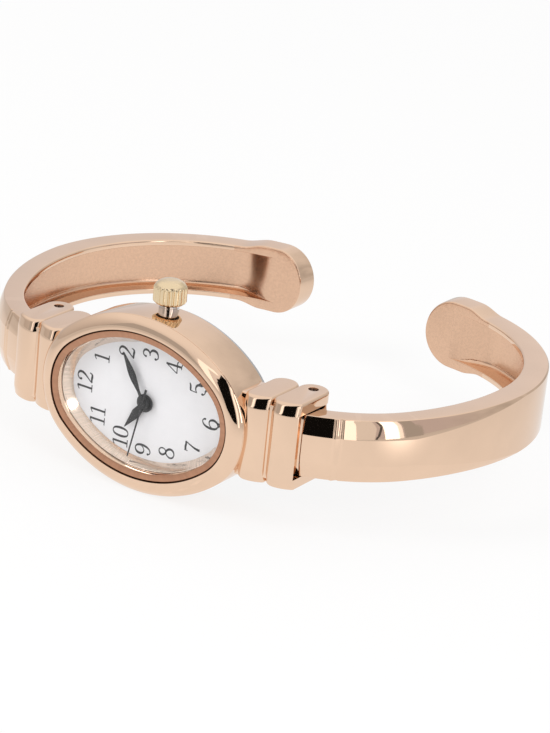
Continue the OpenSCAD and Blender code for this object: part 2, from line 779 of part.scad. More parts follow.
// Lever whose nose rides in the stem's groove
module setting_lever() {
    nose = 0.3 - lever_reach;
    color("#aab0b6") facing() translate([lever_at[0], lever_at[1], stem_height - lever_thick / 2])
        rotate(lever_tilt) linear_extrude(lever_thick) difference() {
            union() {
                circle(0.38);
                polygon([[0.1, 0.36], [-1.1, 0.24], [nose, 0.1], [nose, -0.1], [-1.1, -0.24],
                    [-0.5, -0.4], [-0.2, -0.75], [0.2, -0.75], [0.36, -0.1]]);
            }
            circle(post_radius + running_gap);
        }
}

// Yoke that pushes the clutch towards the train when the crown is pulled
module yoke() {
    nose = 0.3 - lever_reach;
    color("#aab0b6") facing() translate([yoke_at[0], yoke_at[1], stem_height - lever_thick / 2])
        rotate(-yoke_tilt) linear_extrude(lever_thick) difference() {
            union() {
                circle(0.38);
                polygon([[0.1, 0.36], [-1.2, 0.2], [nose, 0.11], [nose, -0.11], [-1.2, -0.2], [0.1, -0.36]]);
            }
            circle(post_radius + running_gap);
        }
}

module crown() {
    skirt = case_half_width + crown_gap;
    r = crown_d / 2;
    color("#d9b15f") from_dial() translate([0, stem_depth, skirt]) difference() {
        rotate_extrude() crown_profile(r);
        translate([0, 0, -1]) cylinder(r = tube_d / 2 + 0.26, h = 2.6);
        cylinder(r = stem_radius + 0.005, h = crown_thread + seat_gap);
        for (i = [0 : crown_flutes - 1]) rotate(i * 360 / crown_flutes) translate([r + 0.02, 0, 0.22])
            cylinder(r = 0.13, h = crown_height - 0.75, $fn = 24);
    }
}

// Half section of the crown: a straight rim with rounded shoulders and a nearly flat top
module crown_profile(r) {
    polygon([[0, 0], [r - 0.3, 0], [r, 0.25], [r, crown_height - 0.75], [r - 0.22, crown_height - 0.45],
        [r - 0.6, crown_height - 0.2], [r - 1.1, crown_height - 0.05], [0, crown_height]]);
}

module crown_gasket() {
    skirt = case_half_width + crown_gap;
    color("#202020") from_dial() translate([0, stem_depth, skirt + 0.08]) difference() {
        cylinder(r = tube_d / 2 + 0.23, h = 0.4);
        translate([0, 0, -1]) cylinder(r = tube_d / 2 + running_gap, h = 3);
    }
}

module case_back() {
    edge = 0.25;
    color("#c7c9cc") facing() {
        oval_plate(back_inset, -case_depth - back_thick + edge, -case_depth);
        oval_plate(back_inset + edge, -case_depth - back_thick, -case_depth - back_thick + edge);
        oval_ring(case_wall - 0.48, case_wall - 0.08, -case_depth - eps,
            -case_depth + back_recess_depth - 0.06);
    }
}

module back_gasket() {
    color("#202020") facing() oval_ring(back_recess_offset + seat_gap, case_wall - 0.5,
        -case_depth + seat_gap, -case_depth + back_recess_depth - 0.13);
}

module hinge_pin() {
    translate([hinge_x, hinge_y, 0]) cylinder(d = pin_d, h = lug_height - 0.4, center = true);
}

module left_hinge_pin() { color("#b9bdc2") from_dial() mirror([1, 0, 0]) hinge_pin(); }

module right_hinge_pin() { color("#b9bdc2") from_dial() hinge_pin(); }

// Cross-section of an arm as [outwards, along the wrist]; 0 outwards is the outer edge of the top face
function arm_section(half, bevel, swell) =
    let (edge = min(rim_edge, half / 2), shoulder = swell + (1 - bevel) * (arm_bulge - edge),
        foot = half - edge - bevel * (bevel_height - edge), face = arm_bulge + swell)
    [[-arm_thick, -half + edge], [-arm_thick + edge, -half], [shoulder, -half], [face, -foot],
        [face, foot], [shoulder, half], [-arm_thick + edge, half], [-arm_thick, half - edge]];

function trough_section(half) =
    let (edge = min(0.3, half / 3), open = -arm_thick - trough_over)
    [[open, -half], [trough_floor - edge, -half], [trough_floor, -half + edge],
        [trough_floor, half - edge], [trough_floor - edge, half], [open, half]];

function section_ring(arc, a, section) = [for (p = section) on_arc(arc[0], arc[1] + p[0], a, p[1])];

// Angle on the back arc at a distance x from the middle of the cuff
function back_angle(x) = acos((x - back_centre[0]) / back_arc_radius);

// The paddle has a round tip and, on the arm's side, shoulders that ease into the arm
function shoulder_share(x) = (1 - cos(180 * (neck_x - x) / (neck_x - shoulder_x))) / 2;

function paddle_half(x) = x > neck_x ? arm_half
    : x > shoulder_x ? arm_half + (paddle_radius - arm_half) * shoulder_share(x)
    : x > paddle_x ? paddle_radius
    : sqrt(pow(paddle_radius, 2) - pow(x - paddle_x, 2));

// Share of the full bevel at an angle on the side arc
function bevel_share(a) = 1 - sin(a - front_arc_end) / sin(-front_arc_end);

// Section of the arm's last stretch at a distance x from the middle of the cuff
function paddle_ring(x) = section_ring(back_arc, back_angle(x), arm_section(paddle_half(x), 0, 0));

module arm_shell() {
    neck_steps = 8;
    round_steps = 11;
    loft(concat(
        [for (s = front_stations) section_ring(front_arc, s[0], arm_section(arm_half, 1, s[1]))],
        [for (a = side_stations) section_ring(side_arc, a, arm_section(arm_half, bevel_share(a), 0))],
        [for (i = [1 : back_steps]) section_ring(back_arc, back_angle(neck_x) * i / back_steps,
            arm_section(arm_half, 0, 0))],
        [for (i = [1 : neck_steps]) paddle_ring(neck_x + (shoulder_x - neck_x) * i / neck_steps)],
        [for (x = [(shoulder_x + paddle_x) / 2, paddle_x]) paddle_ring(x)],
        [for (i = [1 : round_steps]) paddle_ring(paddle_x - paddle_radius * sin(82 * i / round_steps))]));
}

// Hollow inner side: a round end next to the hinge and a slanted wall before the paddle
module trough() {
    last = back_angle(trough_end_x);
    section = trough_section(trough_half);
    foot = on_arc(back_arc[0], back_arc[1] + trough_floor, last, 0);
    mouth = on_arc(back_arc[0], back_arc[1] - arm_thick - trough_over, last + trough_slant, 0);
    end_reach = trough_half / front_arc_radius * 180 / PI;
    full_depth = trough_floor + arm_thick + trough_over;
    side_angles = [for (i = [0.5 : arm_side_steps - 0.5]) front_arc_end * (1 - i / arm_side_steps)];
    back_angles = [for (i = [0.5 : back_steps]) back_angle(neck_x) * i / back_steps];
    loft(concat(
        [for (t = [15, 35, 60, 90]) section_ring(front_arc, trough_start - end_reach * cos(t),
            trough_section(trough_half * sin(t)))],
        [for (a = [-49, -43, -37.5, -32.5]) section_ring(front_arc, a, section)],
        [for (a = side_angles) section_ring(side_arc, a, section)],
        [for (a = back_angles) section_ring(back_arc, a, section)],
        [[for (p = section) foot + (mouth - foot) * (trough_floor - p[0]) / full_depth + [0, 0, p[1]]]]));
}

// Knuckle round the hinge pin, joined to the start of the arm
module knuckle() {
    pin = [hinge_x, hinge_y];
    web_start = front_arc_start + 0.6;
    web_end = front_arc_start + 7.3;
    translate([0, 0, -arm_half + 0.05]) linear_extrude(arm_height - 0.1) {
        polygon([front_centre + polar(front_arc_radius - 0.1, web_start),
            front_centre + polar(front_arc_radius - 0.1, web_end),
            front_centre + polar(front_arc_radius - arm_thick + 0.1, web_end),
            pin + polar(knuckle_radius, 50), pin + polar(knuckle_radius, 195)]);
        translate(pin) circle(knuckle_radius);
    }
}

module arm() {
    difference() {
        union() {
            arm_shell();
            knuckle();
        }
        trough();
        translate([hinge_x, hinge_y, 0]) {
            cylinder(r = pin_bore, h = arm_height + 1, center = true);
            cylinder(r = spring_pocket, h = spring_height + 0.5, center = true);
            translate([0, -spring_radius, -spring_height / 2]) rotate([0, 90, 0])
                cylinder(d = spring_wire + 0.1, h = 2.6);
        }
    }
}

module left_arm() { color("#dcab8c") from_dial() mirror([1, 0, 0]) arm(); }

module right_arm() { color("#dcab8c") from_dial() arm(); }

// Path of the spring wire: a leg into the arm, the turns, and a last turn that closes on the pin
function spring_point(t) = t < 0
    ? [-t * 2.3, -spring_radius, -spring_height / 2]
    : let (grip = max(0, t - spring_turns + 1),
        r = spring_radius - grip * (spring_radius - pin_d / 2 - spring_wire / 2 - running_gap))
        [r * cos(-90 - 360 * t), r * sin(-90 - 360 * t), -spring_height / 2 + t * spring_pitch];

function unit(v) = v / norm(v);

// Round wire along a list of points
module wire(points, radius) {
    last = len(points) - 1;
    loft([for (i = [0 : last])
        let (along = unit(points[min(i + 1, last)] - points[max(i - 1, 0)]),
            side = unit(cross([0, 0, 1], along)), up = cross(along, side))
        [for (k = [0 : 5]) points[i] + radius * (cos(60 * k) * side - sin(60 * k) * up)]]);
}

module hinge_spring() {
    steps = [-1, -0.02, each [for (i = [1 : 8 * spring_turns]) i / 8]];
    translate([hinge_x, hinge_y, 0]) wire([for (t = steps) spring_point(t)], spring_wire / 2);
}

module left_hinge_spring() { color("#8f949c") from_dial() mirror([1, 0, 0]) hinge_spring(); }

module right_hinge_spring() { color("#8f949c") from_dial() hinge_spring(); }

case_body();
case_back();
back_gasket();
bezel();
bezel_ring();
crystal();
crystal_gasket();
flange_ring();
dial();
hour_hand();
minute_hand();
second_hand();
movement_holder();
main_plate();
train_bridge();
bridge_screws();
centre_wheel();
third_wheel();
second_wheel();
fifth_wheel();
rotor();
minute_wheel();
hour_wheel();
stator();
coil();
circuit_board();
quartz_can();
battery();
battery_clip();
stem();
clutch();
setting_lever();
yoke();
case_tube();
crown();
crown_gasket();
left_hinge_pin();
right_hinge_pin();
left_hinge_spring();
right_hinge_spring();
left_arm();
right_arm();
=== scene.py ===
import json
import math
from types import SimpleNamespace

import bmesh
import bpy
from bpy.props import FloatProperty, FloatVectorProperty, IntProperty, PointerProperty
from bpy.types import Operator, Panel, PropertyGroup
from mathutils import Matrix, Vector


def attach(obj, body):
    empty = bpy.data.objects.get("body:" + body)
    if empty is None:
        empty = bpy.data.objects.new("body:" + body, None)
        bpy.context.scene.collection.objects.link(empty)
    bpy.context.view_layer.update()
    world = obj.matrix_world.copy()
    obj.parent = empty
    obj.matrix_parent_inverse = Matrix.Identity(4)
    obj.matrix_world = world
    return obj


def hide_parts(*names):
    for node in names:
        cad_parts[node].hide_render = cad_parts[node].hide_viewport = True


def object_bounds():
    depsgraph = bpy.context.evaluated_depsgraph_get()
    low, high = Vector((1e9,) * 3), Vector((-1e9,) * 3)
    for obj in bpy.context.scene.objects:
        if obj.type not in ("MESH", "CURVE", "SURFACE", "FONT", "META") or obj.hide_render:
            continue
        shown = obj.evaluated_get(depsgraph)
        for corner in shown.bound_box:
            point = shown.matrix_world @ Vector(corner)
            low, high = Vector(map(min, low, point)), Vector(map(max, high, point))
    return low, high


bl_info = {
    "name": "Cuff Watch",
    "version": (1, 0, 0),
    "blender": (4, 5, 0),
    "location": "View3D > Sidebar > Cuff Watch",
    "description": "Dresses the packed model of an oval cuff watch with polished rose gold and a white dial",
    "category": "Object",
}

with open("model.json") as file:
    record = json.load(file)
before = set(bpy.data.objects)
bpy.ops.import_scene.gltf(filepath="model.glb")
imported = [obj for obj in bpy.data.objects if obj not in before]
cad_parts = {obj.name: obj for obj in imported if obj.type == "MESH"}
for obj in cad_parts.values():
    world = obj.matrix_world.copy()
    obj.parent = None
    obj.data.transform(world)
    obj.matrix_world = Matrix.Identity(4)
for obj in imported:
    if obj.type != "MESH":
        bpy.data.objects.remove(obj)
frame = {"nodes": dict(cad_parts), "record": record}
CAD_BOX = [list(corner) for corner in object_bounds()]
BODY_OF = {node: body for body, nodes in frame["record"]["behaviour"]["bodies"].items() for node in nodes}
MM = 0.001
CARD_DISTANCE = 500
SIDES = (("right", 1), ("left", -1))


def length(name, text, value):
    return FloatProperty(name=name, description=text, default=value, unit="LENGTH", precision=5)


def colour(name, text, value):
    return FloatVectorProperty(name=name, description=text, default=value, subtype="COLOR", size=3,
                               min=0, max=1)


def share(name, text, value):
    return FloatProperty(name=name, description=text, default=value, subtype="FACTOR", min=0, max=1)


def count(name, text, value, low, high):
    return IntProperty(name=name, description=text, default=value, min=low, max=high)


class WatchSizes(PropertyGroup):
    """Lengths of the watch in metres, the same as in the part's source"""

    case_half_length: length("Case half length", "From the centre to the case side at 6", 0.01255)
    case_half_width: length("Case half width", "From the centre to the case side at 3", 0.0094)
    end_radius: length("End radius", "Radius of the case outline at 12 and 6", 0.0075)
    seam_height: length("Seam height", "Seam between case side and bezel, in front of the dial", 0.0014)
    case_depth: length("Case depth", "Depth of the case side behind the dial", 0.0039)
    case_wall: length("Case wall", "Thickness of the case wall", 0.00195)
    back_step: length("Back step", "Height of the step round the back edge of the case", 0.0008)
    crest_height: length("Crest height", "Height of the bezel's crest in front of the dial", 0.00223)
    dome_width: length("Dome width", "Width of the bezel's polished dome", 0.0016)
    ring_width: length("Ring width", "Width of the matt ring inside the dome", 0.00082)
    crystal_thick: length("Crystal thickness", "Thickness of the crystal", 0.0009)
    crystal_height: length("Crystal height", "Outer face of the crystal, in front of the dial", 0.0019)
    flange_slope: length("Flange width", "Width of the sloped flange ring", 0.0008)
    back_thick: length("Back thickness", "Thickness of the case back", 0.0007)
    back_inset: length("Back inset", "Case back's edge inside the case side", 0.0005)
    hinge_x: length("Hinge place", "Distance of the hinge pins from the centre", 0.016)
    hinge_y: length("Hinge depth", "Distance of the hinge pins behind the dial", 0.0053)
    outer_rib_radius: length("Outer rib radius", "Radius of the outer rib of each lug", 0.0016)
    inner_rib_radius: length("Inner rib radius", "Radius of the inner rib of each lug", 0.0015)
    lug_height: length("Lug height", "Height of the lugs along the wrist", 0.0092)
    inner_rib_front: length("Inner rib front", "Front of the inner rib, before the dial", 0.00095)
    outer_rib_front: length("Outer rib front", "Front of the outer rib, before the dial", 0.0004)
    inner_rib_back: length("Inner rib back", "Back of the inner rib, behind the dial", 0.0061)
    front_wall: length("Front wall", "Lug's wall in front of the arm", 0.0009)
    pin_d: length("Pin diameter", "Diameter of the hinge pins", 0.001)
    arm_height: length("Arm height", "Height of the arms along the wrist", 0.0066)
    arm_thick: length("Arm thickness", "From the inner rim to the outer edge of the top face", 0.0022)
    arm_bulge: length("Arm bulge", "How far the outer face stands beyond the bevel", 0.00055)
    bevel_height: length("Bevel height", "Height of each bevel on the outer face", 0.0019)
    front_arc_radius: length("Front arc", "Radius of the arm's curve next to the hinge", 0.0165)
    side_arc_radius: length("Side arc", "Radius of the arm's curve at the wrist's side", 0.029)
    back_arc_radius: length("Back arc", "Radius of the arm's curve behind the wrist", 0.02)
    trough_wall: length("Trough wall", "Thickness of the walls round the trough", 0.00065)
    tip_gap_half: length("Half gap", "Half of the gap between the two tips", 0.0082)
    paddle_radius: length("Paddle radius", "Radius of the round paddle at each tip", 0.00385)
    spring_wire: length("Spring wire", "Thickness of the hinge spring's wire", 0.0003)
    dial_thick: length("Dial thickness", "Thickness of the dial plate", 0.0004)
    hour_hand_length: length("Hour hand", "Length of the hour hand", 0.00395)
    minute_hand_length: length("Minute hand", "Length of the minute hand", 0.00565)
    second_hand_length: length("Second hand", "Length of the second hand", 0.0062)
    hand_thick: length("Hand thickness", "Thickness of the hands", 0.00012)
    numeral_height: length("Numeral height", "Height of the dial's numerals", 0.00195)
    crown_d: length("Crown diameter", "Diameter of the crown", 0.00345)
    crown_height: length("Crown height", "Height of the crown", 0.0025)
    crown_gap: length("Crown gap", "Between the case side and the crown's skirt", 0.00075)
    tube_d: length("Neck diameter", "Diameter of the case tube under the crown", 0.0021)
    stem_depth: length("Stem depth", "Distance of the crown's axis behind the dial", 0.00215)


class WatchDetails(PropertyGroup):
    """Counts and the time shown"""

    shown_hour: count("Hour", "Hour shown", 10, 0, 11)
    shown_minute: count("Minute", "Minute shown", 9, 0, 59)
    shown_second: count("Second", "Second shown", 47, 0, 59)
    crown_flutes: count("Flutes", "Flutes round the crown", 24, 12, 36)
    spring_turns: count("Spring turns", "Turns of each hinge spring", 5, 3, 6)


class WatchFinishes(PropertyGroup):
    """Colours and polish of the watch"""

    rose_gold: colour("Rose gold", "Polished plating of case and arms", (0.83, 0.60, 0.44))
    # The satin's roughness is the plating's own; its colour, darker and deeper than the rose gold, is a
    # painted shade of the arms' troughs.
    satin_gold: colour("Satin gold", "Plating of the arms' inner sides", (0.77, 0.505, 0.35))
    copper: colour("Copper ring", "Matt ring inside the bezel", (0.53, 0.28, 0.175))
    flange_gold: colour("Flange", "Hairlined ring round the dial", (0.93, 0.76, 0.63))
    crown_gold: colour("Crown gold", "Yellow plating of the crown", (0.84, 0.67, 0.44))
    steel: colour("Steel", "Neck, pins and stem", (0.74, 0.74, 0.75))
    dial_white: colour("Dial", "Lacquer of the dial", (0.84, 0.84, 0.855))
    ink: colour("Numerals", "Print of the numerals", (0.035, 0.035, 0.038))
    hand_black: colour("Hands", "Lacquer of the hands", (0.006, 0.006, 0.007))
    polish: share("Polish roughness", "Roughness of the polished plating", 0.03)
    satin: share("Satin roughness", "Roughness of the arms' inner sides", 0.17)


def lengths(context):
    """The lengths in millimetres, with the four-arc oval and the crystal's shelf that follow from them."""
    group = context.scene.cuff_watch_sizes
    s = SimpleNamespace(**{name: getattr(group, name) / MM for name in WatchSizes.__annotations__})
    shelf_thick, shelf_margin = 0.25, 0.03
    s.oval_c = s.case_half_length - s.end_radius
    oval_k = s.case_half_width - s.end_radius
    s.oval_d = (s.oval_c ** 2 - oval_k ** 2) / (2 * oval_k)
    s.side_radius = s.case_half_width + s.oval_d
    s.oval_angle = math.degrees(math.atan2(s.oval_d, s.oval_c))
    s.dial_back = s.case_depth + s.back_thick
    s.crystal_seat = s.crystal_height - s.crystal_thick
    s.shelf_bottom = s.crystal_seat - shelf_thick
    s.shelf_offset = s.dome_width + s.ring_width + shelf_margin
    return s


# Meshes

def deep(s, x, depth, z):
    """Point at a depth behind the dial's front."""
    return (x, depth - s.dial_back, z)


def front(s, u, v, height):
    """Point at a height in front of the dial; u runs to 6, v to 3."""
    return (u, -height - s.dial_back, v)


def around(centre, radius, angle):
    """Point on a circle, at an angle in degrees."""
    a = math.radians(angle)
    return centre[0] + radius * math.cos(a), centre[1] + radius * math.sin(a)


def rounded(corners, steps=4):
    """Closed outline through corners (x, y, radius); one with a radius gives steps + 1 points."""
    outline, touching, most = [], 1e-6, 0.49
    for i, (x, y, radius) in enumerate(corners):
        here = Vector((x, y))
        if radius == 0:
            outline.append((x, y))
            continue
        a = Vector(corners[i - 1][:2]) - here
        b = Vector(corners[(i + 1) % len(corners)][:2]) - here
        if min(a.length, b.length) < touching:
            outline += [(x, y)] * (steps + 1)
            continue
        half = a.angle(b) / 2
        reach = min(radius / math.tan(max(half, 0.01)), most * a.length, most * b.length)
        start, end, weight = here + a.normalized() * reach, here + b.normalized() * reach, math.sin(half)
        for k in range(steps + 1):
            t = k / steps
            shares = ((1 - t) ** 2, 2 * weight * t * (1 - t), t * t)
            p = (start * shares[0] + here * shares[1] + end * shares[2]) / sum(shares)
            outline.append((p.x, p.y))
    return outline


def quads(rings, round_ring=True, closed=False):
    """Points and faces of a skin through rings of equal numbers of points, capped unless it is closed."""
    n, m = len(rings), len(rings[0])
    faces = []
    for i in range(n if closed else n - 1):
        a, b = i * m, (i + 1) % n * m
        for j in range(m if round_ring else m - 1):
            k = (j + 1) % m
            faces.append((a + j, b + j, b + k, a + k))
    if round_ring and not closed:
        faces += [tuple(range(m)), tuple(range((n - 1) * m, n * m))]
    return [p for ring in rings for p in ring], faces


def merged(parts):
    """One list of points and faces out of several."""
    points, faces = [], []
    for part_points, part_faces in parts:
        base = len(points)
        points += part_points
        faces += [tuple(base + i for i in face) for face in part_faces]
    return points, faces


def shade(mesh, sharp=32):
    """Smooth shading that keeps edges sharper than an angle."""
    mesh.shade_smooth()
    mesh.set_sharp_from_angle(angle=math.radians(sharp))


def linked(name, data):
    """New object in the scene."""
    thing = bpy.data.objects.new(name, data)
    bpy.context.scene.collection.objects.link(thing)
    return thing


def piece_from(name, shape, sharp=32):
    """Mesh object from points in millimetres and faces."""
    points, faces = shape
    mesh = bpy.data.meshes.new(name)
    mesh.from_pydata([Vector(p) * MM for p in points], [], faces)
    bm = bmesh.new()
    bm.from_mesh(mesh)
    bmesh.ops.remove_doubles(bm, verts=bm.verts, dist=1e-7)
    bmesh.ops.dissolve_degenerate(bm, edges=bm.edges, dist=1e-8)
    bmesh.ops.recalc_face_normals(bm, faces=bm.faces)
    bm.to_mesh(mesh)
    bm.free()
    if not mesh.polygons:
        raise RuntimeError(f"{name} has no faces")
    shade(mesh, sharp)
    return linked(name, mesh)


def applied(piece):
    """The piece with its modifiers turned into mesh."""
    mesh = bpy.data.meshes.new_from_object(piece.evaluated_get(bpy.context.evaluated_depsgraph_get()))
    piece.modifiers.clear()
    piece.data = mesh
    shade(mesh)
    return piece


def cut(piece, tool):
    """Takes the tool's volume out of the piece."""
    change = piece.modifiers.new("Cut", "BOOLEAN")
    change.operation, change.solver, change.object = "DIFFERENCE", "EXACT", tool
    applied(piece)
    bpy.data.objects.remove(tool)
    return piece


def softened(piece, width, angle=40, segments=3):
    """Rounds the piece's sharp edges."""
    change = piece.modifiers.new("Soften", "BEVEL")
    change.width, change.segments = width * MM, segments
    change.limit_method, change.angle_limit = "ANGLE", math.radians(angle)
    return applied(piece)


def block(s, name, xs, depths, half_height):
    """Box between two places along x in any order, two depths, and as far to both sides of the middle."""
    (x0, x1), (y0, y1) = sorted(xs), depths
    rings = [[deep(s, x0, y0, z), deep(s, x1, y0, z), deep(s, x1, y1, z), deep(s, x0, y1, z)]
             for z in (-half_height, half_height)]
    return piece_from(name, quads(rings))


def oval_places(s, steps=56):
    """(centre, radius, angle) round the case outline."""
    places = []
    for turn, side in ((0, 1), (180, -1)):
        for i in range(steps):
            places.append(((side * s.oval_c, 0), s.end_radius, turn + s.oval_angle * (2 * i / steps - 1)))
        for i in range(steps):
            angle = turn + s.oval_angle + (180 - 2 * s.oval_angle) * i / steps
            places.append(((0, -side * s.oval_d), s.side_radius, angle))
    return places


def oval_shape(s, profile, solid=False):
    """Sweep round the oval of (offset, height) points; a solid one is an open profile capped at both ends."""
    rings = [[front(s, *around(centre, radius + offset, angle), height) for offset, height in profile]
             for centre, radius, angle in oval_places(s)]
    return quads(list(zip(*rings))) if solid else quads(rings, closed=True)


def lathe(profile, place, steps=96):
    """Solid of revolution of (radius, height) points; place turns (radius, angle, height) into a point."""
    return quads([[place(r, 360 * i / steps, h) for i in range(steps)] for r, h in profile])


def wrist_round(s, x, depth):
    """Places lathe points round an axis that runs along the wrist."""
    return lambda radius, angle, height: deep(s, *around((x, depth), radius, angle), height)


def smooth_path(points, steps=7, loop=False):
    """Smooth curve through points of any number of values."""
    n = len(points)
    if n == 2:
        return list(points)
    path = []
    for i in range(n if loop else n - 1):
        near = [points[(i + k) % n] if loop else points[min(max(i + k, 0), n - 1)] for k in (-1, 0, 1, 2)]
        for j in range(steps):
            t = j / steps
            path.append(tuple(0.5 * (2 * b + (c - a) * t + (2 * a - 5 * b + 4 * c - d) * t ** 2
                                     + (3 * b - a - 3 * c + d) * t ** 3) for a, b, c, d in zip(*near)))
    return path if loop else path + [points[-1]]


def tube(points, radius, sides=12):
    """Round wire along points in millimetres."""
    rings = []
    for i, p in enumerate(points):
        along = Vector(points[min(i + 1, len(points) - 1)]) - Vector(points[max(i - 1, 0)])
        along.normalize()
        side = along.cross(Vector((0, 0, 1))).normalized()
        up = side.cross(along)
        rings.append([Vector(p) + radius * (math.cos(a) * side + math.sin(a) * up)
                      for a in (2 * math.pi * k / sides for k in range(sides))])
    return quads(rings)


def dressed(context, piece, finish, node=None, body=None):
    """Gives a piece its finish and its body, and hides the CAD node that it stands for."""
    piece.data.materials.clear()
    piece.data.materials.append(finish_named(context, finish))
    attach(piece, body or BODY_OF[node])
    if node:
        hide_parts(node)
    return piece


def second_finish(context, piece, finish, chosen):
    """Gives a second finish to the faces that chosen is true for."""
    piece.data.materials.append(finish_named(context, finish))
    for face in piece.data.polygons:
        face.material_index = 1 if chosen(face) else 0


# Node groups and materials

def add(tree, kind, **settings):
    """Node with its settings."""
    node = tree.nodes.new(kind)
    for key, value in settings.items():
        setattr(node, key, value)
    return node


def wire(tree, value, socket):
    """Links a socket or sets its value."""
    if isinstance(value, bpy.types.NodeSocket):
        tree.links.new(value, socket)
    else:
        socket.default_value = value


def wired(tree, node, sockets, output=0):
    """Sets or links the node's inputs by name or place, and gives one of its outputs."""
    for place, value in sockets.items():
        wire(tree, value, node.inputs[place])
    return node.outputs[output]


def maths(tree, operation, *values):
    return wired(tree, add(tree, "ShaderNodeMath", operation=operation), dict(enumerate(values)))


def vector_maths(tree, operation, a, b=(0, 0, 0), output="Value"):
    return wired(tree, add(tree, "ShaderNodeVectorMath", operation=operation), {0: a, 1: b}, output)


def blended(tree, factor, a, b):
    """Mix of two colours."""
    return wired(tree, add(tree, "ShaderNodeMix", data_type="RGBA"), {"Factor": factor, 6: a, 7: b}, 2)


def millimetres(tree, stretch=(1, 1, 1)):
    """Object coordinates in millimetres, stretched by axis."""
    place = add(tree, "ShaderNodeTexCoord").outputs["Object"]
    return vector_maths(tree, "MULTIPLY", place, tuple(k / MM for k in stretch), "Vector")


def noise(tree, vector, scale, detail=2.0, rough=0.5):
    sockets = {"Vector": vector, "Scale": scale, "Detail": detail, "Roughness": rough}
    return wired(tree, add(tree, "ShaderNodeTexNoise"), sockets, "Fac")


def ranged(tree, value, low, high, to_low=0.0, to_high=1.0):
    """The value's place between low and high, as a value between two others."""
    return wired(tree, add(tree, "ShaderNodeMapRange"), dict(enumerate((value, low, high, to_low, to_high))))


def axes(tree, vector):
    """The three parts of a vector."""
    node = add(tree, "ShaderNodeSeparateXYZ")
    wired(tree, node, {0: vector})
    return node.outputs


def shared_group(name, inputs, outputs, fill):
    """The node group of that name; when it is first asked for, fill adds its nodes and gives its outputs."""
    if name in bpy.data.node_groups:
        return bpy.data.node_groups[name]
    tree = bpy.data.node_groups.new(name, "ShaderNodeTree")
    for label, value in inputs.items():
        kind = "NodeSocketColor" if isinstance(value, tuple) else "NodeSocketFloat"
        tree.interface.new_socket(label, in_out="INPUT", socket_type=kind).default_value = value
    for label in outputs:
        kind = "NodeSocketColor" if label == "Colour" else "NodeSocketFloat"
        tree.interface.new_socket(label, in_out="OUTPUT", socket_type=kind)
    given, result = tree.nodes.new("NodeGroupInput"), tree.nodes.new("NodeGroupOutput")
    for label, socket in zip(outputs, fill(tree, given.outputs)):
        tree.links.new(socket, result.inputs[label])
    return tree


def spread_out(tree, given, mask):
    """Roughness that grows with a mask."""
    return maths(tree, "ADD", given["Roughness"], maths(tree, "MULTIPLY", mask, given["Spread"]))


def polish_group():
    """Clouding of a plated surface, and its fine polishing marks and pits."""
    def fill(tree, given):
        place = millimetres(tree)
        clouds = ranged(tree, noise(tree, place, given["Cloud scale"], 3.0), 0.35, 0.7)
        marks = noise(tree, millimetres(tree, (9, 9, 2)), 1.6)
        pits = noise(tree, place, 14.0, 1.0)
        dull = maths(tree, "ADD", clouds, ranged(tree, marks, 0.5, 0.75))
        half_clouds = maths(tree, "MULTIPLY", clouds, 0.5)
        return (blended(tree, half_clouds, given["Colour"], given["Cloud colour"]),
                maths(tree, "ADD", given["Roughness"], maths(tree, "MULTIPLY", dull, given["Haze"])),
                maths(tree, "ADD", maths(tree, "MULTIPLY", marks, 0.4), pits))
    return shared_group(
        "Plating polish", {"Colour": (0.8, 0.6, 0.5, 1), "Cloud colour": (0.7, 0.5, 0.4, 1), "Roughness": 0.1,
                           "Haze": 0.05, "Cloud scale": 0.25}, ("Colour", "Roughness", "Height"), fill)


def wear_group():
    """Mask of rubbed edges."""
    def fill(tree, given):
        edges = ranged(tree, add(tree, "ShaderNodeNewGeometry").outputs["Pointiness"], 0.515, 0.56)
        broken = ranged(tree, noise(tree, millimetres(tree), 1.3, 3.0), 0.3, 0.7, 0.3, 1.0)
        return (maths(tree, "MULTIPLY", maths(tree, "MULTIPLY", edges, broken), given["Amount"]),)
    return shared_group("Rubbed edges", {"Amount": 0.5}, ("Mask",), fill)


def hairline_group():
    """Brushed hairlines that run out from the middle of the dial, or along the wrist where Radial is 0."""
    def fill(tree, given):
        def spaced_out(value, weight):
            return maths(tree, "MULTIPLY", maths(tree, "MULTIPLY", value, given["Density"]), weight)
        place = axes(tree, millimetres(tree))
        angle = maths(tree, "ARCTAN2", place["Z"], place["X"])
        straight = maths(tree, "SUBTRACT", 1.0, given["Radial"])
        across = {0: spaced_out(angle, given["Radial"]), 1: spaced_out(place["Z"], straight),
                  2: maths(tree, "MULTIPLY", place["Y"], 0.4)}
        lines = noise(tree, wired(tree, add(tree, "ShaderNodeCombineXYZ"), across), 1.0, 3.0, 0.65)
        mask = ranged(tree, lines, 0.35, 0.65)
        return mask, spread_out(tree, given, mask), lines
    return shared_group("Hairlines", {"Radial": 1.0, "Density": 60.0, "Roughness": 0.2, "Spread": 0.15},
                        ("Mask", "Roughness", "Height"), fill)


def grain_group():
    """Fine even grain, as on cast or moulded surfaces."""
    def fill(tree, given):
        grain = noise(tree, millimetres(tree), given["Scale"], 4.0, 0.6)
        mask = ranged(tree, grain, 0.35, 0.65)
        return mask, spread_out(tree, given, mask), grain
    return shared_group("Cast grain", {"Scale": 6.0, "Roughness": 0.4, "Spread": 0.15},
                        ("Mask", "Roughness", "Height"), fill)


def placed(tree, group, values):
    """A node group in a material, with its own values."""
    node = add(tree, "ShaderNodeGroup", node_tree=group)
    wired(tree, node, values)
    return node.outputs


def new_material(name, metallic=1.0):
    material = bpy.data.materials.new(name)
    material.use_nodes = True
    shader = material.node_tree.nodes["Principled BSDF"]
    shader.inputs["Metallic"].default_value = metallic
    return material, material.node_tree, shader


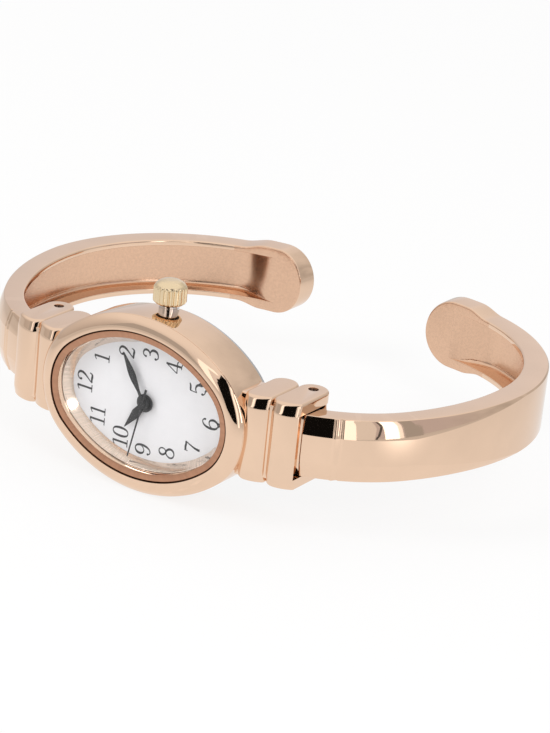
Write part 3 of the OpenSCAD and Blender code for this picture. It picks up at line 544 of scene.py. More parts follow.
def surfaced(tree, shader, colours, roughness, height, relief):
    """Gives the shader its colours, roughness and bump; the relief is in millimetres."""
    sockets = {"Strength": 0.3, "Distance": relief * MM, "Height": height}
    bump = wired(tree, add(tree, "ShaderNodeBump"), sockets)
    wired(tree, shader, {"Base Color": blended(tree, *colours), "Roughness": roughness, "Normal": bump})


def shaded(rgb, by=1.0):
    """The colour with alpha, darker by a share."""
    return (*(c * by for c in rgb), 1.0)


def plated(name, rgb, roughness, haze):
    """Polished plating with clouding, polishing marks and rubbed edges."""
    cloud_shade, wear, relief = 0.93, 0.4, 0.0006
    material, tree, shader = new_material(name)
    polish = placed(tree, polish_group(), {"Colour": shaded(rgb), "Cloud colour": shaded(rgb, cloud_shade),
                                           "Roughness": roughness, "Haze": haze})
    edges = placed(tree, wear_group(), {"Amount": wear})
    bright = shaded(tuple(min(1.0, c * 1.08 + 0.03) for c in rgb))
    surfaced(tree, shader, (edges["Mask"], polish["Colour"], bright), polish["Roughness"],
             polish["Height"], relief)
    return material


def textured(name, rgb, shade_share, relief, metallic, group, values):
    """Finish whose colour, roughness and bump follow the mask of one node group."""
    material, tree, shader = new_material(name, metallic)
    marks = placed(tree, group, values)
    surfaced(tree, shader, (marks["Mask"], shaded(rgb), shaded(rgb, shade_share)), marks["Roughness"],
             marks["Height"], relief)
    return material


def brushed(name, rgb, roughness, spread, radial, density, shade_share=0.8, relief=0.004):
    """Metal with hairlines."""
    return textured(name, rgb, shade_share, relief, 1.0, hairline_group(),
                    {"Radial": radial, "Density": density, "Roughness": roughness, "Spread": spread})


def grained(name, rgb, roughness, spread, scale, shade_share=0.85, relief=0.01, metallic=1.0):
    """Cast metal, plastic, rubber or lacquer with a fine grain."""
    return textured(name, rgb, shade_share, relief, metallic, grain_group(),
                    {"Scale": scale, "Roughness": roughness, "Spread": spread})


def glass(name, rgb, sheen):
    """Clear mineral glass with a faint smear in its gloss; sheen is the tint of its reflections."""
    material, tree, shader = new_material(name, 0.0)
    smear = placed(tree, grain_group(), {"Scale": 0.3, "Roughness": 0.0, "Spread": 0.015})
    wired(tree, shader, {"Base Color": shaded(rgb), "Transmission Weight": 1.0, "IOR": 1.5,
                         "Specular Tint": shaded(sheen), "Roughness": smear["Roughness"]})
    return material


# Each finish is its maker, its colour and the maker's further values; a word stands for a property of the
# finishes. Plated: roughness, haze. Brushed: roughness, spread, radial share, density, darkest share, relief.
# Grained: roughness, spread, scale, darkest share, relief, metallic.
FINISHES = {
    "Rose gold polished": (plated, "rose_gold", "polish", 0.025),
    "Crown gold": (plated, "crown_gold", 0.12, 0.06),
    "Bright steel": (plated, "steel", 0.08, 0.05),
    "Copper matt": (brushed, "copper", 0.30, 0.12, 1.0, 30.0, 0.9, 0.002),
    "Flange hairlines": (brushed, "flange_gold", 0.09, 0.16, 1.0, 60.0, 0.74, 0.003),
    "Back steel": (brushed, (0.62, 0.62, 0.63), 0.22, 0.14, 0.0, 24.0, 0.88, 0.004),
    "Brass": (brushed, (0.74, 0.52, 0.20), 0.25, 0.15, 1.0, 40.0),
    "Nickel": (brushed, (0.64, 0.64, 0.66), 0.24, 0.16, 0.0, 30.0),
    "Copper wire": (brushed, (0.60, 0.26, 0.12), 0.30, 0.15, 0.0, 90.0, 0.55, 0.02),
    # Satin roughness of the arms' inner sides, with a darker colour that paints the shade in the troughs.
    "Rose gold satin": (grained, "satin_gold", "satin", 0.06, 4.0, 0.93, 0.006),
    "Groove shade": (grained, (0.10, 0.05, 0.03), 0.45, 0.15, 9.0),
    # Painted shade: the pin ends' dark colour stands for the shade inside the recessed pin holes above them.
    "Pin end": (grained, (0.10, 0.07, 0.06), 0.35, 0.15, 9.0),
    "Spring steel": (grained, (0.42, 0.43, 0.45), 0.28, 0.12, 9.0),
    "Magnet": (grained, (0.30, 0.31, 0.33), 0.35, 0.15, 8.0),
    "Dial lacquer": (grained, "dial_white", 0.32, 0.10, 1.2, 0.985, 0.002, 0.0),
    "Numeral print": (grained, "ink", 0.5, 0.15, 12.0, 0.75, 0.004, 0.0),
    "Hand lacquer": (grained, "hand_black", 0.30, 0.10, 5.0, 0.8, 0.003, 0.0),
    "Board": (grained, (0.03, 0.16, 0.07), 0.40, 0.15, 6.0, 0.8, 0.004, 0.0),
    "Holder plastic": (grained, (0.80, 0.77, 0.70), 0.42, 0.12, 5.0, 0.95, 0.006, 0.0),
    "Seal rubber": (grained, (0.02, 0.02, 0.02), 0.55, 0.15, 8.0, 0.7, 0.006, 0.0),
    "Clear seal": (grained, (0.78, 0.78, 0.74), 0.35, 0.10, 5.0, 0.95, 0.003, 0.0),
    "Clear glass": (glass, (1.0, 1.0, 1.0), (0.3, 0.3, 0.3)),
}


def finish_named(context, name):
    """The material of that name, made when it is first asked for."""
    if name in bpy.data.materials:
        return bpy.data.materials[name]
    finishes = context.scene.cuff_watch_finishes
    maker, rgb, *values = FINISHES[name]
    rgb = tuple(getattr(finishes, rgb)) if isinstance(rgb, str) else rgb
    values = [getattr(finishes, value) if isinstance(value, str) else value for value in values]
    return maker(name, rgb, *values)


# Case

def rib_outline(x, side, first, last, radius, shrink, steps=16):
    """Outline (x, depth) of an upright rib; its front is a shallow arc that faces a little outwards."""
    soft, tight, low, high = 0.68 * radius, 0.3 * radius, 4, 38
    sines = [math.sin(math.radians(a)) for a in (-90, low, high, 90)]
    shallow = 2 * radius - soft * (sines[1] - sines[0]) - tight * (sines[3] - sines[2])
    shallow /= sines[2] - sines[1]
    across, depth, outline = -radius, soft * math.cos(math.radians(low)), []
    for start, end, bend in ((-90, low, soft), (low, high, shallow), (high, 90, tight)):
        for i in range(steps):
            a, b = (math.radians(start + (end - start) * k / steps) for k in (i, i + 1))
            outline.append((x + side * (across - shrink * math.sin(a)), first + depth + shrink * math.cos(a)))
            across += bend * (math.sin(b) - math.sin(a))
            depth -= bend * (math.cos(b) - math.cos(a))
    for i in range(2 * steps + 1):
        px, py = around((0, last - radius), radius - shrink, 90 * i / steps)
        outline.append((x + side * px, py))
    return outline[::side]


def rib_shape(s, x, side, first, last, radius):
    """Upright rib with rounded edges, whose front leans back at its top and bottom."""
    edge, brow, slope, ease = 0.28, 1.4, 0.3, 0.4
    round_steps = {edge * (1 - math.cos(math.radians(9 * i))) for i in range(11)}
    levels = sorted(round_steps | {edge + (brow - edge) * i / 12 for i in range(13)})
    half = []
    for down in levels:
        shrink = edge - math.sqrt(edge ** 2 - (edge - down) ** 2) if down < edge else 0.0
        rise = brow - down
        lean = slope * (rise - ease / 2 if rise > ease else rise ** 2 / (2 * ease))
        half.append((s.lug_height / 2 - down, shrink, lean))
    levels = [(-z, shrink, lean) for z, shrink, lean in half] + half[::-1]
    return quads([[deep(s, px, py, z) for px, py in rib_outline(x, side, first + lean, last, radius, shrink)]
                  for z, shrink, lean in levels])


def lug_pieces(s, name, side):
    """Two ribs with slot and pin hole, the root that joins them to the case side, and the web between."""
    beyond, play, hole_share = 6, 0.1, 0.53
    inner_x = s.hinge_x - s.outer_rib_radius - s.inner_rib_radius + 0.05
    meeting, half = inner_x + s.inner_rib_radius, s.lug_height / 2
    slot_front = s.front_wall - s.outer_rib_front
    inner = piece_from(f"{name}_inner_rib", rib_shape(
        s, side * inner_x, side, -s.inner_rib_front, s.inner_rib_back, s.inner_rib_radius))
    outer = piece_from(f"{name}_outer_rib", rib_shape(
        s, side * s.hinge_x, side, -s.outer_rib_front, s.hinge_y + s.outer_rib_radius, s.outer_rib_radius))
    slot = (side * (s.hinge_x - s.outer_rib_radius + 0.02), side * (s.hinge_x + beyond))
    cut(outer, block(s, "slot_tool", slot, (slot_front, 12), s.arm_height / 2 + play))
    hole = [(s.pin_d * hole_share, z) for z in (-8, 8)]
    cut(outer, piece_from("hole_tool", lathe(hole, wrist_round(s, side * s.hinge_x, s.hinge_y), 40)))
    softened(outer, 0.07, angle=50)
    root = block(s, f"{name}_lug_root", (side * inner_x, side * (inner_x - 2.6)),
                 (0.75 - s.inner_rib_front, s.case_depth - 0.35), half - 0.12)
    web = block(s, f"{name}_lug_web", (side * (meeting - 0.6), side * (meeting + 0.6)),
                (0.35 - s.outer_rib_front, slot_front - 0.02), half - 0.7)
    return inner, outer, softened(root, 0.2), softened(web, 0.1)


class CUFFWATCH_OT_case(Operator):
    """Case side with the ribbed lugs at both ends"""

    bl_idname = "cuff_watch.case"
    bl_label = "Case Side and Lugs"

    def execute(self, context):
        s = lengths(context)
        low, step, inset = -s.case_depth, -s.case_depth + s.back_step, s.back_inset / 2
        side = rounded([(0, s.seam_height, 0.07), (-s.case_wall, s.seam_height, 0), (-s.case_wall, low, 0),
                        (-inset, low, 0.12), (-inset, step, 0.08), (0, step, 0.18)])
        pieces = [piece_from("case_side", oval_shape(s, side))]
        for name, mirror in SIDES:
            pieces += lug_pieces(s, name, mirror)
        for piece in pieces:
            dressed(context, piece, "Rose gold polished", "case_body")
        return {"FINISHED"}


def dome_profile(s, groove):
    """Section of the bezel: its dome as one arc, the groove inside it and the crystal's shelf."""
    steps, play, foot = 28, 0.02, 0.2
    crest, rise = s.dome_width - 0.1, s.crest_height - s.seam_height
    radius = (crest ** 2 + rise ** 2) / (2 * rise)
    first, last = math.acos(crest / radius), math.acos((crest - s.dome_width) / radius)
    dome = []
    for i in range(1, steps + 1):
        a = first + (last - first) * i / steps
        dome.append((radius * math.cos(a) - crest, s.crest_height - radius + radius * math.sin(a), 0))
    return rounded([
        (-1.5, foot, 0), (-1.5, s.seam_height + play, 0), (-0.05, s.seam_height + play, 0.04), *dome[:-1],
        (*dome[-1][:2], 0.05), (-s.dome_width, groove, 0), (-s.case_wall, groove, 0),
        (-s.case_wall, s.crystal_seat, 0), (-s.shelf_offset, s.crystal_seat, 0.03),
        (-s.shelf_offset, s.shelf_bottom, 0), (-s.case_wall, s.shelf_bottom, 0), (-s.case_wall, foot, 0)])


def ring_profile(s):
    """Section of the matt ring, which lies beside the dome."""
    low, outer, inner = s.crystal_height + 0.04, -s.dome_width - 0.15, -s.dome_width - s.ring_width
    return rounded([(outer, low, 0), (outer, low + 0.2, 0.05), (inner, low + 0.1, 0.05), (inner, low, 0)])


def flange_profile(s):
    """Section of the ring that slopes from the crystal's shelf down to the dial."""
    play, dial_play = 0.03, 0.02
    outer, lip = -s.case_wall - 0.05, -s.shelf_offset - 0.02
    top, step = s.crystal_seat - play, s.shelf_bottom - play
    return rounded([(outer, dial_play, 0), (outer, step, 0), (lip, step, 0), (lip, top, 0.02),
                    (lip - 0.08, top, 0.03), (lip - s.flange_slope, dial_play, 0.02)])


class CUFFWATCH_OT_bezel(Operator):
    """Domed bezel, the matt ring inside it and the flange round the dial"""

    bl_idname = "cuff_watch.bezel"
    bl_label = "Bezel and Rings"

    def execute(self, context):
        s = lengths(context)
        groove = s.crystal_height - 0.35
        level = front(s, 0, 0, groove)[1] * MM
        dome = dressed(context, piece_from("bezel_dome", oval_shape(s, dome_profile(s, groove))),
                       "Rose gold polished", "bezel")
        second_finish(context, dome, "Groove shade", lambda face: abs(face.center.y - level) < 1e-6)
        dressed(context, piece_from("matt_ring", oval_shape(s, ring_profile(s))),
                "Copper matt", "bezel_ring")
        dressed(context, piece_from("flange", oval_shape(s, flange_profile(s))),
                "Flange hairlines", "flange_ring")
        return {"FINISHED"}


def oval_plate(context, s, name, profile, finish, node):
    """Plate that fills the oval, from the open section of its edge."""
    return dressed(context, piece_from(name, oval_shape(s, profile, solid=True)), finish, node)


class CUFFWATCH_OT_crystal(Operator):
    """Crystal over the dial"""

    bl_idname = "cuff_watch.crystal"
    bl_label = "Crystal"

    def execute(self, context):
        s = lengths(context)
        edge, low, high = -s.case_wall - 0.29, s.crystal_seat + 0.01, s.crystal_height
        middle = edge - 0.5
        profile = [(middle, low), (edge, low), (edge, high - 0.1), (edge - 0.03, high - 0.03),
                   (edge - 0.1, high), (middle, high)]
        crystal = oval_plate(context, s, "glass_oval", profile, "Clear glass", "crystal")
        crystal.visible_shadow = crystal.visible_diffuse = False
        return {"FINISHED"}


# Dial

# Strokes of the numerals as (x, y, width), in heights of a numeral, after the width of each
GLYPHS = {
    "0": (0.60, [("loop", [(0.30, 0.98, .05), (0.13, 0.86, .10), (0.07, 0.50, .13), (0.13, 0.14, .10),
                           (0.30, 0.02, .05), (0.47, 0.14, .10), (0.53, 0.50, .13), (0.47, 0.86, .10)])]),
    "1": (0.54, [("line", [(0.29, 0.03, .11), (0.29, 0.97, .11)]),
                 ("line", [(0.27, 0.96, .05), (0.07, 0.84, .05)]),
                 ("line", [(0.08, 0.025, .05), (0.49, 0.025, .05)])]),
    "2": (0.62, [("path", [(0.11, 0.74, .10), (0.12, 0.86, .07), (0.23, 0.96, .06), (0.37, 0.97, .08),
                           (0.50, 0.88, .12), (0.53, 0.73, .13), (0.47, 0.57, .12), (0.33, 0.38, .08),
                           (0.17, 0.19, .055), (0.06, 0.05, .05)]),
                 ("path", [(0.07, 0.05, .06), (0.22, 0.075, .11), (0.42, 0.05, .12), (0.54, 0.08, .08),
                           (0.59, 0.22, .05)]),
                 ("ball", (0.13, 0.76, 0.065))]),
    "3": (0.62, [("path", [(0.12, 0.80, .07), (0.18, 0.92, .06), (0.32, 0.97, .07), (0.46, 0.90, .11),
                           (0.50, 0.77, .12), (0.44, 0.62, .09), (0.30, 0.55, .05), (0.22, 0.54, .05)]),
                 ("path", [(0.24, 0.55, .05), (0.40, 0.53, .07), (0.53, 0.43, .12), (0.56, 0.28, .14),
                           (0.50, 0.12, .12), (0.34, 0.03, .07), (0.19, 0.04, .06), (0.09, 0.16, .07)]),
                 ("ball", (0.14, 0.80, 0.06)), ("ball", (0.12, 0.18, 0.065))]),
    "4": (0.64, [("line", [(0.44, 0.02, .11), (0.44, 0.98, .11)]),
                 ("line", [(0.43, 0.97, .05), (0.05, 0.30, .05)]),
                 ("line", [(0.03, 0.29, .055), (0.62, 0.29, .055)]),
                 ("line", [(0.31, 0.02, .045), (0.57, 0.02, .045)])]),
    "5": (0.62, [("path", [(0.14, 0.93, .08), (0.30, 0.93, .11), (0.44, 0.95, .09), (0.53, 1.0, .04)]),
                 ("line", [(0.14, 0.95, .05), (0.11, 0.53, .05)]),
                 ("path", [(0.11, 0.53, .05), (0.22, 0.60, .06), (0.36, 0.61, .08), (0.50, 0.53, .12),
                           (0.56, 0.35, .14), (0.50, 0.14, .12), (0.34, 0.03, .07), (0.18, 0.04, .06),
                           (0.08, 0.16, .07)]),
                 ("ball", (0.11, 0.18, 0.065))]),
    "6": (0.62, [("path", [(0.52, 0.83, .07), (0.44, 0.94, .06), (0.32, 0.97, .06), (0.18, 0.87, .09),
                           (0.09, 0.66, .12), (0.07, 0.40, .13), (0.12, 0.16, .11), (0.24, 0.04, .07),
                           (0.36, 0.03, .07), (0.50, 0.13, .11), (0.55, 0.32, .13), (0.49, 0.50, .10),
                           (0.36, 0.57, .06), (0.22, 0.53, .05), (0.12, 0.40, .05)]),
                 ("ball", (0.49, 0.83, 0.06))]),
    "7": (0.60, [("path", [(0.07, 0.90, .10), (0.25, 0.92, .12), (0.42, 0.89, .11), (0.56, 0.92, .07)]),
                 ("line", [(0.07, 0.98, .045), (0.06, 0.77, .045)]),
                 ("path", [(0.56, 0.92, .05), (0.44, 0.66, .07), (0.33, 0.38, .10), (0.28, 0.15, .13),
                           (0.28, 0.03, .14)])]),
    "8": (0.62, [("loop", [(0.31, 0.97, .06), (0.17, 0.90, .10), (0.13, 0.76, .11), (0.20, 0.62, .10),
                           (0.34, 0.53, .09), (0.46, 0.62, .06), (0.50, 0.76, .07), (0.45, 0.90, .07)]),
                 ("loop", [(0.31, 0.55, .08), (0.15, 0.45, .07), (0.07, 0.27, .09), (0.13, 0.10, .08),
                           (0.31, 0.02, .06), (0.49, 0.10, .10), (0.55, 0.27, .12), (0.48, 0.43, .12)])]),
}


def half_turned(glyph):
    """The same numeral upside down."""
    width, strokes = glyph
    result = []
    for kind, points in strokes:
        turned = [(width - x, 1 - y, w) for x, y, w in ([points] if kind == "ball" else points)]
        result.append((kind, turned[0] if kind == "ball" else turned))
    return width, result


GLYPHS["9"] = half_turned(GLYPHS["6"])


def numeral_places():
    """Middle of each numeral (towards 6, towards 3), in rows of the oval dial."""
    places = {12: (-7.848, 0), 3: (0, 5.205), 1: (-5.972, 3.185), 2: (-2.917, 4.642)}
    for number in (1, 2):
        u, v = places[number]
        places.update({12 - number: (u, -v), 6 - number: (-u, v), 6 + number: (-u, -v)})
    return {**places, 6: (7.848, 0), 9: (0, -5.205)}


def ink_shape(stroke, place, height=0.015):
    """Printed stroke as a thin raised band; place turns (x, y, height) into a point."""
    kind, points = stroke
    if kind == "ball":
        x, y, radius = points
        ring = [around((x, y), radius, 18 * i) for i in range(20)]
        return quads([[place(px, py, h) for px, py in ring] for h in (0, height)])
    loop = kind == "loop"
    path, rings = smooth_path(points, loop=loop), []
    for i, (x, y, width) in enumerate(path):
        before = path[i - 1] if loop else path[max(i - 1, 0)]
        after = path[(i + 1) % len(path)] if loop else path[min(i + 1, len(path) - 1)]
        along = Vector((after[0] - before[0], after[1] - before[1])).normalized()
        nx, ny = -along.y * width / 2, along.x * width / 2
        rings.append([place(x + nx, y + ny, 0), place(x + nx, y + ny, height),
                      place(x - nx, y - ny, height), place(x - nx, y - ny, 0)])
    return quads(rings, closed=loop)


def numeral_shapes(s, number, centre):
    """Strokes of one numeral, with its top towards 12."""
    digits, size = str(number), s.numeral_height
    shapes, left = [], -sum(GLYPHS[digit][0] for digit in digits) / 2
    for digit in digits:
        def place(x, y, h, left=left):
            return front(s, centre[0] - (y - 0.5) * size, centre[1] + (left + x) * size, h)
        shapes += [ink_shape(stroke, place) for stroke in GLYPHS[digit][1]]
        left += GLYPHS[digit][0]
    return shapes


class CUFFWATCH_OT_dial(Operator):
    """Dial plate and its printed numerals"""

    bl_idname = "cuff_watch.dial"
    bl_label = "Dial and Numerals"

    def execute(self, context):
        s = lengths(context)
        edge, soft = -s.case_wall - 0.05, 0.03
        profile = [(edge - 0.5, -s.dial_thick), (edge, -s.dial_thick), (edge, -soft), (edge - soft, 0),
                   (edge - 0.5, 0)]
        oval_plate(context, s, "dial_plate", profile, "Dial lacquer", "dial")
        shapes = []
        for number, centre in numeral_places().items():
            shapes += numeral_shapes(s, number, centre)
        dressed(context, piece_from("numerals", merged(shapes)), "Numeral print",
                body=BODY_OF["dial"])
        return {"FINISHED"}


def mirrored(half):
    """Closed outline from the half on one side of its middle line, whose last point lies on it."""
    return half + [(x, -y) for x, y in half[-2::-1]]


def hand_shape(s, outline, level, turn):
    """Flat blade of a hand that points to 12 before it is turned."""
    a = math.radians(-turn)
    turned = [(x * math.cos(a) - y * math.sin(a), x * math.sin(a) + y * math.cos(a)) for x, y in outline]
    return quads([[front(s, x, y, h) for x, y in turned] for h in (level, level + s.hand_thick)])


def hub_shape(s, radius, bore, low, high, edge=0.03):
    """Round hub of a hand with a raised collar."""
    profile = [(bore, low), (radius - edge, low), (radius, low + edge), (radius, high - edge),
               (radius - edge, high), (bore + 0.22, high), (bore + 0.2, high + 0.03),
               (bore + 0.08, high + 0.05), (bore, high + 0.04)]
    return lathe(profile, lambda r, angle, height: front(s, *around((0, 0), r, angle), height))


class CUFFWATCH_OT_hands(Operator):
    """Hour, minute and second hand"""

    bl_idname = "cuff_watch.hands"
    bl_label = "Hands"

    def execute(self, context):
        s, shown = lengths(context), context.scene.cuff_watch_details
        minutes, proud = shown.shown_minute + shown.shown_second / 60, 0.03
        # Outline as (share of the length, half width), hub radius, bore, height over the dial, turn
        hour = mirrored([(0, 0.3), (0.2, 0.38), (0.42, 0.52), (0.7, 0.29), (0.99, 0.04), (1, 0)])
        minute = mirrored([(0.04, 0.16), (0.25, 0.16), (0.36, 0.26), (0.46, 0.37), (0.56, 0.41), (0.66, 0.37),
                           (0.8, 0.24), (0.99, 0.05), (1, 0)])
        tail, neck = 1.7 / s.second_hand_length, 0.3 / s.second_hand_length
        second = [(-tail, 0.12), (neck, 0.09), (1, 0.06), (1, -0.06), (neck, -0.09), (-tail, -0.12)]
        for name, outline, reach, radius, bore, level, turn in (
                ("hour", hour, s.hour_hand_length, 0.95, 0.4, 0.3, (shown.shown_hour + minutes / 60) * 30),
                ("minute", minute, s.minute_hand_length, 0.7, 0.26, 0.56, minutes * 6),
                ("second", second, s.second_hand_length, 0.4, 0.001, 0.78, shown.shown_second * 6)):
            outline = [(-along * reach, across) for along, across in outline]
            blade = piece_from(f"{name}_blade", hand_shape(s, outline, level, turn))
            hub = hub_shape(s, radius, bore, level - proud, level + s.hand_thick + proud)
            for piece in (softened(blade, 0.02, segments=2), piece_from(f"{name}_hub", hub)):
                dressed(context, piece, "Hand lacquer", f"{name}_hand")
        return {"FINISHED"}


# Crown

def crown_profile(s):
    """Section (radius, height) of the crown above its skirt, with points close enough for the flutes."""
    r, top, bore, bore_top, spacing = s.crown_d / 2, s.crown_height, 1.31, 1.9, 0.12
    outline = rounded([
        (bore, bore_top, 0), (bore, 0, 0.04), (r - 0.28, 0, 0.05), (r, 0.26, 0.12), (r, top - 0.8, 0.25),
        (r - 0.24, top - 0.42, 0.5), (r - 0.65, top - 0.14, 0.6), (r - 1.15, top - 0.02, 0.5),
        (0, top, 0)], 8)[:-1]
    profile = []
    for (r0, h0), (r1, h1) in zip(outline, outline[1:]):
        parts = max(1, round(math.hypot(r1 - r0, h1 - h0) / spacing))
        profile += [(r0 + (r1 - r0) * k / parts, h0 + (h1 - h0) * k / parts) for k in range(parts)]
    return profile + [(0.002, top)]


def fluted(s, profile, flutes, place):
    """Turns the crown's section and cuts round flutes into its side."""
    reach, cutter, steps, bore = s.crown_d / 2 + 0.04, 0.175, 14 * flutes, 1.32
    skirt, rings = s.case_half_width + s.crown_gap, []
    for radius, height in profile:
        ring = []
        for i in range(steps):
            across = math.radians(360 * i / steps) % (2 * math.pi / flutes) - math.pi / flutes
            inside = cutter ** 2 - (reach * math.sin(across)) ** 2
            groove = reach * math.cos(across) - math.sqrt(inside) if inside > 0 else math.inf
            reached = min(radius, groove) if radius > bore else radius
            ring.append(place(reached, 360 * i / steps, skirt + height))
        rings.append(ring)
    return quads(rings)


class CUFFWATCH_OT_crown(Operator):
    """Fluted crown and the steel neck below it"""

    bl_idname = "cuff_watch.crown"
    bl_label = "Crown and Neck"

    def execute(self, context):
        s, flutes = lengths(context), context.scene.cuff_watch_details.crown_flutes
        place = wrist_round(s, 0, s.stem_depth)
        crown = piece_from("fluted_crown", fluted(s, crown_profile(s), flutes, place), 40)
        dressed(context, crown, "Crown gold", "crown")
        side, r, bore, edge = s.case_half_width, s.tube_d / 2, 0.48, 0.05
        low, high = side - 0.9, side + 2.2
        neck = [(bore, low), (r, low), (r, side + 0.36), (r - edge, side + 0.39), (r - edge, side + 0.43),
                (r, side + 0.46), (r, high - edge), (r - edge, high), (bore, high)]
        dressed(context, piece_from("neck", lathe(neck, place)), "Bright steel", "case_tube")
        return {"FINISHED"}


# Arms

class ArmCurve:
    """Three tangent arcs that one arm follows; radii are those of the outer edge of its top face."""

    def __init__(self, s):
        self.s = s
        self.start, self.bend = -70.0, -30.0
        (cx, cy), step = (11.73, 17.25), s.side_arc_radius - s.front_arc_radius
        self.front = ((cx, cy), s.front_arc_radius)
        self.side = (around((cx, cy), -step, self.bend), s.side_arc_radius)
        (cx, cy) = self.side[0]
        self.back = ((cx + s.side_arc_radius - s.back_arc_radius, cy), s.back_arc_radius)
        self.half = s.arm_height / 2
        self.paddle_x = s.tip_gap_half + s.paddle_radius
        self.neck_x, self.shoulder_x = self.paddle_x + 5.0, self.paddle_x + 1.9
        self.trough = self.half - s.trough_wall
        self.depth = s.arm_thick + s.arm_bulge - s.trough_wall
        self.trough_start, self.trough_slant = -52.0, 17.0
        self.trough_last = self.back_angle(self.paddle_x + 5.6)

    def point(self, arc, angle, out, z, mirror):
        """Point outside an arc by a length, at a height along the wrist."""
        x, y = around(arc[0], arc[1] + out, angle)
        return deep(self.s, mirror * x, y, z)

    def back_angle(self, x):
        """Angle on the last arc at a distance x from the middle."""
        return math.degrees(math.acos((x - self.back[0][0]) / self.back[1]))

    def width(self, x):
        """Half height of the arm near its tip."""
        wide = self.s.paddle_radius
        t = max(0.0, min((self.neck_x - x) / (self.neck_x - self.shoulder_x), 1.0))
        return self.half + (wide - self.half) / 2 * (1 - math.cos(math.pi * t))

    def ramp(self, angle):
        """Share of the trough's depth that is left on its way to the paddle."""
        return 1 - eased((angle - self.trough_last) / self.trough_slant)

    def profile(self, half, bevel, swell, trough, depth, shrink=0.0):
        """Section as (outwards, along the wrist), from the middle of the inner side round to it."""
        s, edge, belly, rim = self.s, 0.15, 0.24, shrink - self.s.arm_thick
        half -= shrink
        face, floor = s.arm_bulge + swell - shrink, rim + max(depth - shrink, 0)
        shoulder = swell + (1 - bevel) * (s.arm_bulge - edge) - shrink
        foot = half - edge - bevel * (s.bevel_height - edge)
        slope = [(shoulder + (face - shoulder) * t + belly * bevel * t * (1 - t), half + (foot - half) * t, 0)
                 for t in (0.2, 0.4, 0.6, 0.8)]
        top = [(floor, 0, 0), (floor, trough, 0.5), (rim, trough, 0.1), (rim, half, 0.22),
               (shoulder, half, 0.1 + 0.24 * (1 - bevel)), *slope, (face, foot, 0.12 + 0.2 * (1 - bevel)),
               (face, 0, 0)]
        return rounded(top + [(out, -z, r) for out, z, r in top[-2:0:-1]], 5)

    def swell(self, angle):
        """Ridge and groove across the outer face next to the hinge."""
        def bump(low, high, edge):
            return eased(min((angle - low) / edge, (high - angle) / edge))
        ridge, groove = self.start + 11.5, self.start + 13.2
        return 0.12 * bump(ridge - 1.1, ridge + 0.9, 0.9) - 0.11 * bump(groove - 0.9, groove + 0.9, 0.8)


def eased(t):
    """Smooth step from 0 to 1."""
    t = max(0.0, min(t, 1.0))
    return t * t * (3 - 2 * t)


def spaced(low, high, step):
    """Values from low to high, about a step apart."""
    parts = max(1, round((high - low) / step))
    return [low + (high - low) * i / parts for i in range(parts + 1)]


def arm_shape(curve, mirror):
    """Skin of one arm: its end at the hinge, the three arcs, the neck and the round tip."""
    s, half, trough, depth, rings = curve.s, curve.half, curve.trough, curve.depth, []

    def ring(arc, angle, *section):
        rings.append([curve.point(arc, angle, out, z, mirror) for out, z in curve.profile(*section)])

    edge = 0.14
    for shrink in (edge, 0.08, 0.035, 0.01):
        away = edge - math.sqrt(edge ** 2 - (edge - shrink) ** 2)
        ring(curve.front, curve.start + math.degrees(away / s.front_arc_radius), half, 1, 0, 0, 0, shrink)
    reach_back = math.degrees(trough / s.front_arc_radius)
    angles = {*spaced(curve.start + 0.5, -60.8, 0.6), *spaced(-59.6, -55.9, 0.07),
              *spaced(-55.9, curve.bend, 0.8),
              *(curve.trough_start - reach_back * math.cos(math.radians(t)) for t in range(0, 91, 6))}
    for a in sorted(angles):
        reach = (curve.trough_start - a) / reach_back
        open_here = reach <= 1.0001
        wide = trough * math.sqrt(max(0.0, 1 - max(reach, 0) ** 2)) if open_here else 0.0
        ring(curve.front, a, half, 1, curve.swell(a), wide, depth if open_here else 0.0)
    for a in spaced(curve.bend, 0, 1.0)[1:]:
        bevel = 1 - math.sin(math.radians(a - curve.bend)) / math.sin(math.radians(-curve.bend))
        ring(curve.side, a, half, bevel, 0, trough, depth)
    for a in spaced(0, curve.back_angle(curve.neck_x), 1.2)[1:]:
        ring(curve.back, a, half, 0, 0, trough, depth * curve.ramp(a))
    for x in spaced(curve.paddle_x, curve.neck_x, 0.25)[-2::-1]:
        a = curve.back_angle(x)
        ring(curve.back, a, curve.width(x), 0, 0, trough, depth * curve.ramp(a))
    tip = curve.profile(s.paddle_radius, 0, 0, trough, 0.0)
    fan = []
    for turn in range(90, -91, -5):
        c, n = around((0, 0), 1, turn)
        fan.append([curve.point(curve.back, curve.back_angle(curve.paddle_x - z * c), out, z * n, mirror)
                    for out, z in tip[:len(tip) // 2 + 1]])
    points, faces = quads(rings)
    return merged([(points, faces[:-1]), quads(fan, round_ring=False)])


def knuckle_shapes(curve, mirror):
    """Round of the knuckle on the hinge pin and the web that joins it to the arm."""
    s, high, play = curve.s, curve.half - 0.05, 0.1
    pin, r = (s.hinge_x, s.hinge_y), s.outer_rib_radius - play
    (centre, radius), web_end = curve.front, -62.7

    ends = [(0.12, high), (0.03, high - 0.05), (0, high - 0.14)]

    def levels(outline):
        cx, cy = sum(p[0] for p in outline) / len(outline), sum(p[1] for p in outline) / len(outline)
        rings = []
        for shrink, z in [(shrink, -z) for shrink, z in ends] + ends[::-1]:
            ring = []
            for x, y in outline:
                out = Vector((x - cx, y - cy))
                out = out * (1 - shrink / max(out.length, 0.2))
                ring.append(deep(s, mirror * (cx + out.x), cy + out.y, z))
            rings.append(ring)
        return quads(rings)

    web = [around(centre, radius - play, -69.4), around(centre, radius - play, web_end),
           around(centre, radius - s.arm_thick + play, web_end), around(pin, r, 50), around(pin, r, 195),
           (s.hinge_x + 0.5, s.hinge_y - 3.9)]
    return [levels([around(pin, r, 5 * i) for i in range(72)]), levels(web)]


